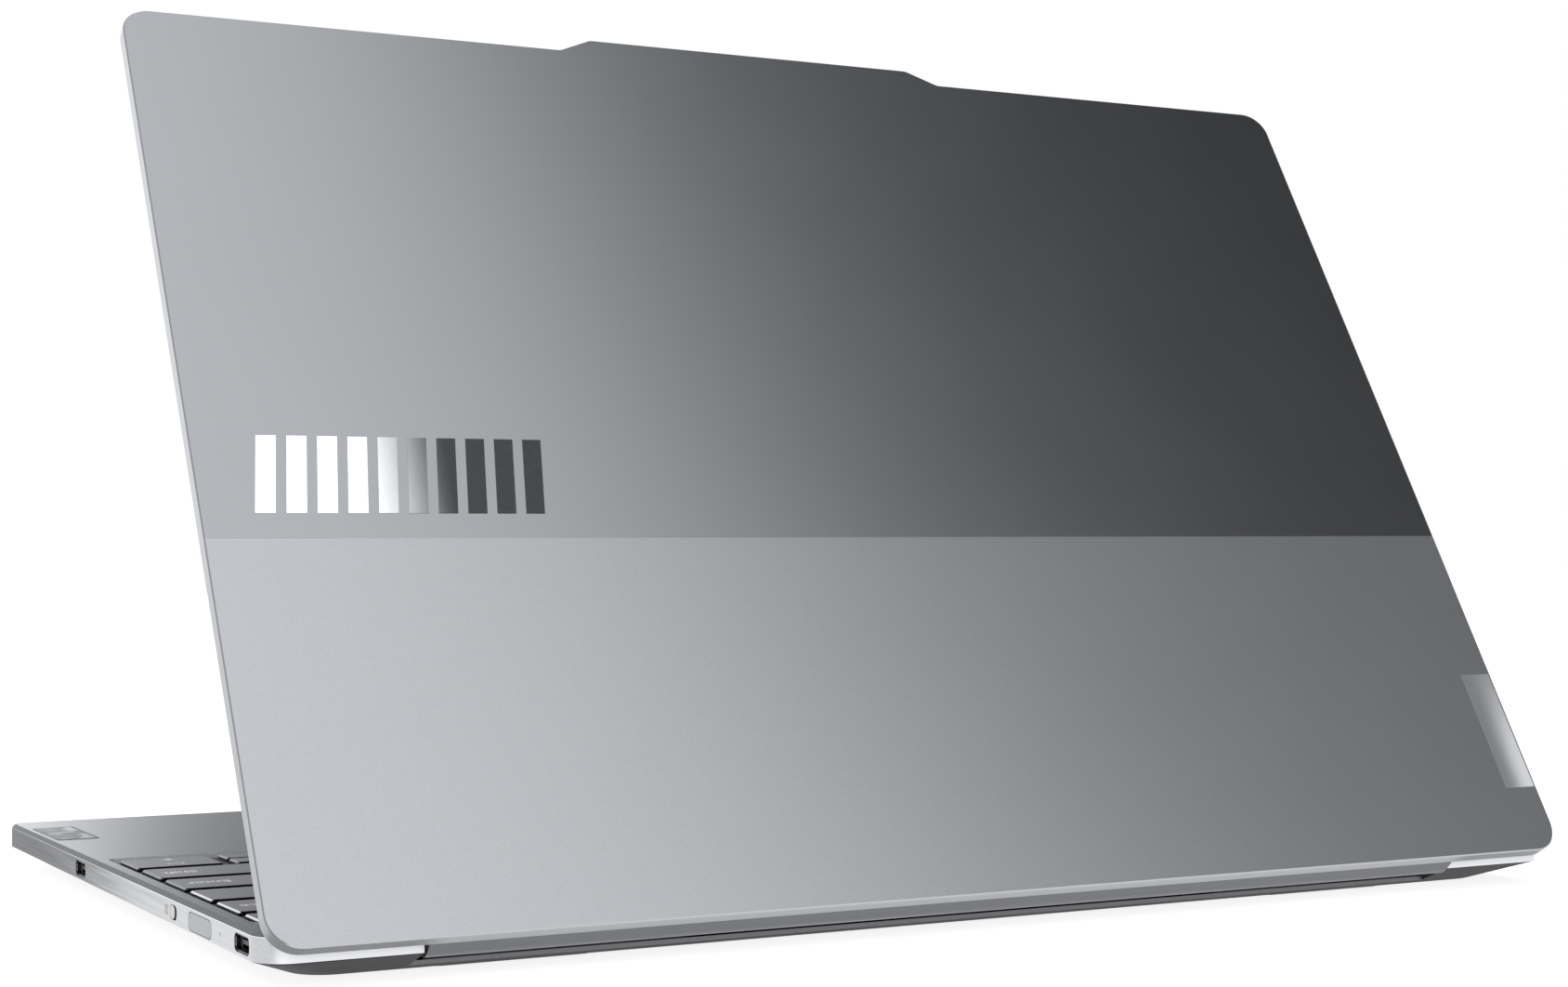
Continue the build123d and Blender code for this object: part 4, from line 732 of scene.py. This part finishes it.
def print_switch_mark(material):
    """A small camera outline on the side wall, in front of the privacy switch."""
    low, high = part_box("privacy_switch")
    body = JOINTS["privacy_switch_slide"]["parent"]
    mark = Print("switch_mark", body, "base_metal", material)
    wall = Matrix(((0, 0, 1), (1, 0, 0), (0, 1, 0))).to_4x4()
    off_wall, ahead = 0.01 * MM, 1.2 * MM
    spot = (HALF_WIDTH + off_wall, low.y - ahead, (low.z + high.z) / 2)
    place = Matrix.Translation(spot) @ wall
    half, tall, pen = 1.15 * MM, 0.8 * MM, 0.16 * MM
    mark.polygon(place, (-half, tall - pen), (half, tall - pen), (half, tall), (-half, tall))
    mark.polygon(place, (-half, -tall), (half, -tall), (half, pen - tall), (-half, pen - tall))
    mark.polygon(place, (-half, -tall), (pen - half, -tall), (pen - half, tall), (-half, tall))
    mark.polygon(place, (half - pen, -tall), (half, -tall), (half, tall), (half - pen, tall))
    mark.ring(place, 0.48 * MM, 0.30 * MM)
    mark.finish()


def print_marks():
    """All key legends, and the mark beside the privacy switch."""
    ink = print_material()
    bodies = [name for name in KEY_BODIES if name != "space_key"]
    marks = {name: Print(name + "_legends", name, "key_plastic", ink) for name in bodies}
    print_unit_runs(marks)
    print_wide_keys(marks)
    print_modifiers(marks)
    print_arrows(marks)
    for mark in marks.values():
        mark.finish()
    dark = Shade("mark_ink", (0.10, 0.10, 0.105), 0.5)
    dark.put("Roughness", dark.step(dark.noise(2000, 2.0), 0.3, 0.7, 0.4, 0.6))
    print_switch_mark(dark.material)


# ---------------------------------------------------------------- camera, floor and light
def make_camera():
    """Camera behind the laptop's right-hand side, a little above the deck."""
    data = bpy.data.cameras.new("camera")
    data.sensor_width = 36
    data.lens = 59.09
    data.clip_start = 0.01
    camera = bpy.data.objects.new("camera", data)
    bpy.context.scene.collection.objects.link(camera)
    azimuth, elevation, roll = (math.radians(a) for a in (151.781, -1.188, -0.242))
    back = Vector((
        math.sin(azimuth) * math.cos(elevation),
        -math.cos(azimuth) * math.cos(elevation),
        math.sin(elevation),
    ))
    right = Vector((0, 0, 1)).cross(back).normalized()
    up = back.cross(right)
    turned_right = right * math.cos(roll) + up * math.sin(roll)
    turned_up = up * math.cos(roll) - right * math.sin(roll)
    turn = Matrix((turned_right, turned_up, back)).transposed()
    place = Matrix.Translation((0.275023, REAR + 0.426939, DECK + 0.065282))
    camera.matrix_world = place @ turn.to_4x4()
    bpy.context.scene.camera = camera


def make_floor():
    """Plain pale floor."""
    reach = 4.0
    corners = [(-reach, -reach, 0), (reach, -reach, 0), (reach, reach, 0), (-reach, reach, 0)]
    data = bpy.data.meshes.new("floor")
    data.from_pydata(corners, [], [(0, 1, 2, 3)])
    floor = bpy.data.objects.new("floor", data)
    bpy.context.scene.collection.objects.link(floor)
    pale = Shade("floor", (0.38, 0.38, 0.38), 0.9)
    pale.put("Base Color", pale.mix(pale.noise(3, 2.0), (0.37, 0.37, 0.37), (0.39, 0.39, 0.39)))
    pale.put("Emission Color", WHITE)
    pale.put("Emission Strength", 0.85)
    data.materials.append(pale.material)


BRIGHTNESS = 1.57                   # of the surroundings, away from the dark cards


def make_world():
    """Soft white surroundings, with dark cards beside and in front that shape the reflections."""
    world = bpy.data.worlds.new("studio")
    bpy.context.scene.world = world
    world.use_nodes = True
    tree = world.node_tree
    coordinates = tree.nodes.new("ShaderNodeTexCoord")
    background = tree.nodes["Background"]
    shade = None
    # (direction of the card, radius where it is darkest, radius where it ends, how dark)
    cards = [
        ((-0.895, -0.260, 0.362), 54, 57, 0.983),
        ((-0.524, -0.839, 0.146), 16.6, 21.6, 0.75),
    ]
    for direction, inner, outer, depth in cards:
        near = tree.nodes.new("ShaderNodeVectorMath")
        near.operation = "DOT_PRODUCT"
        tree.links.new(coordinates.outputs["Generated"], near.inputs[0])
        near.inputs[1].default_value = Vector(direction).normalized()
        fall = tree.nodes.new("ShaderNodeMapRange")
        fall.interpolation_type = "SMOOTHSTEP"
        tree.links.new(near.outputs["Value"], fall.inputs["Value"])
        fall.inputs["From Min"].default_value = math.cos(math.radians(outer))
        fall.inputs["From Max"].default_value = math.cos(math.radians(inner))
        fall.inputs["To Min"].default_value = 1.0
        fall.inputs["To Max"].default_value = 1.0 - depth
        if shade is None:
            shade = fall.outputs["Result"]
        else:
            both = tree.nodes.new("ShaderNodeMath")
            both.operation = "MULTIPLY"
            tree.links.new(shade, both.inputs[0])
            tree.links.new(fall.outputs["Result"], both.inputs[1])
            shade = both.outputs[0]
    strength = tree.nodes.new("ShaderNodeMath")
    strength.operation = "MULTIPLY"
    tree.links.new(shade, strength.inputs[0])
    strength.inputs[1].default_value = BRIGHTNESS
    rays = tree.nodes.new("ShaderNodeLightPath")
    seen = tree.nodes.new("ShaderNodeMath")
    seen.operation = "MAXIMUM"
    tree.links.new(strength.outputs[0], seen.inputs[0])
    tree.links.new(rays.outputs["Is Camera Ray"], seen.inputs[1])
    tree.links.new(seen.outputs[0], background.inputs["Strength"])
    background.inputs["Color"].default_value = (1.0, 1.009, 1.032, 1.0)


paint_lid()
paint_lid_trim()
paint_display()
paint_hinge_cover()
paint_top_case()
paint_bottom()
paint_touchpad()
paint_sticker()
paint_keys()
paint_sockets()
paint_buttons()
paint_plastic()
paint_boards()
paint_metals()
print_marks()
make_camera()
make_floor()
make_world()
bpy.context.scene.view_settings.view_transform = "Standard"
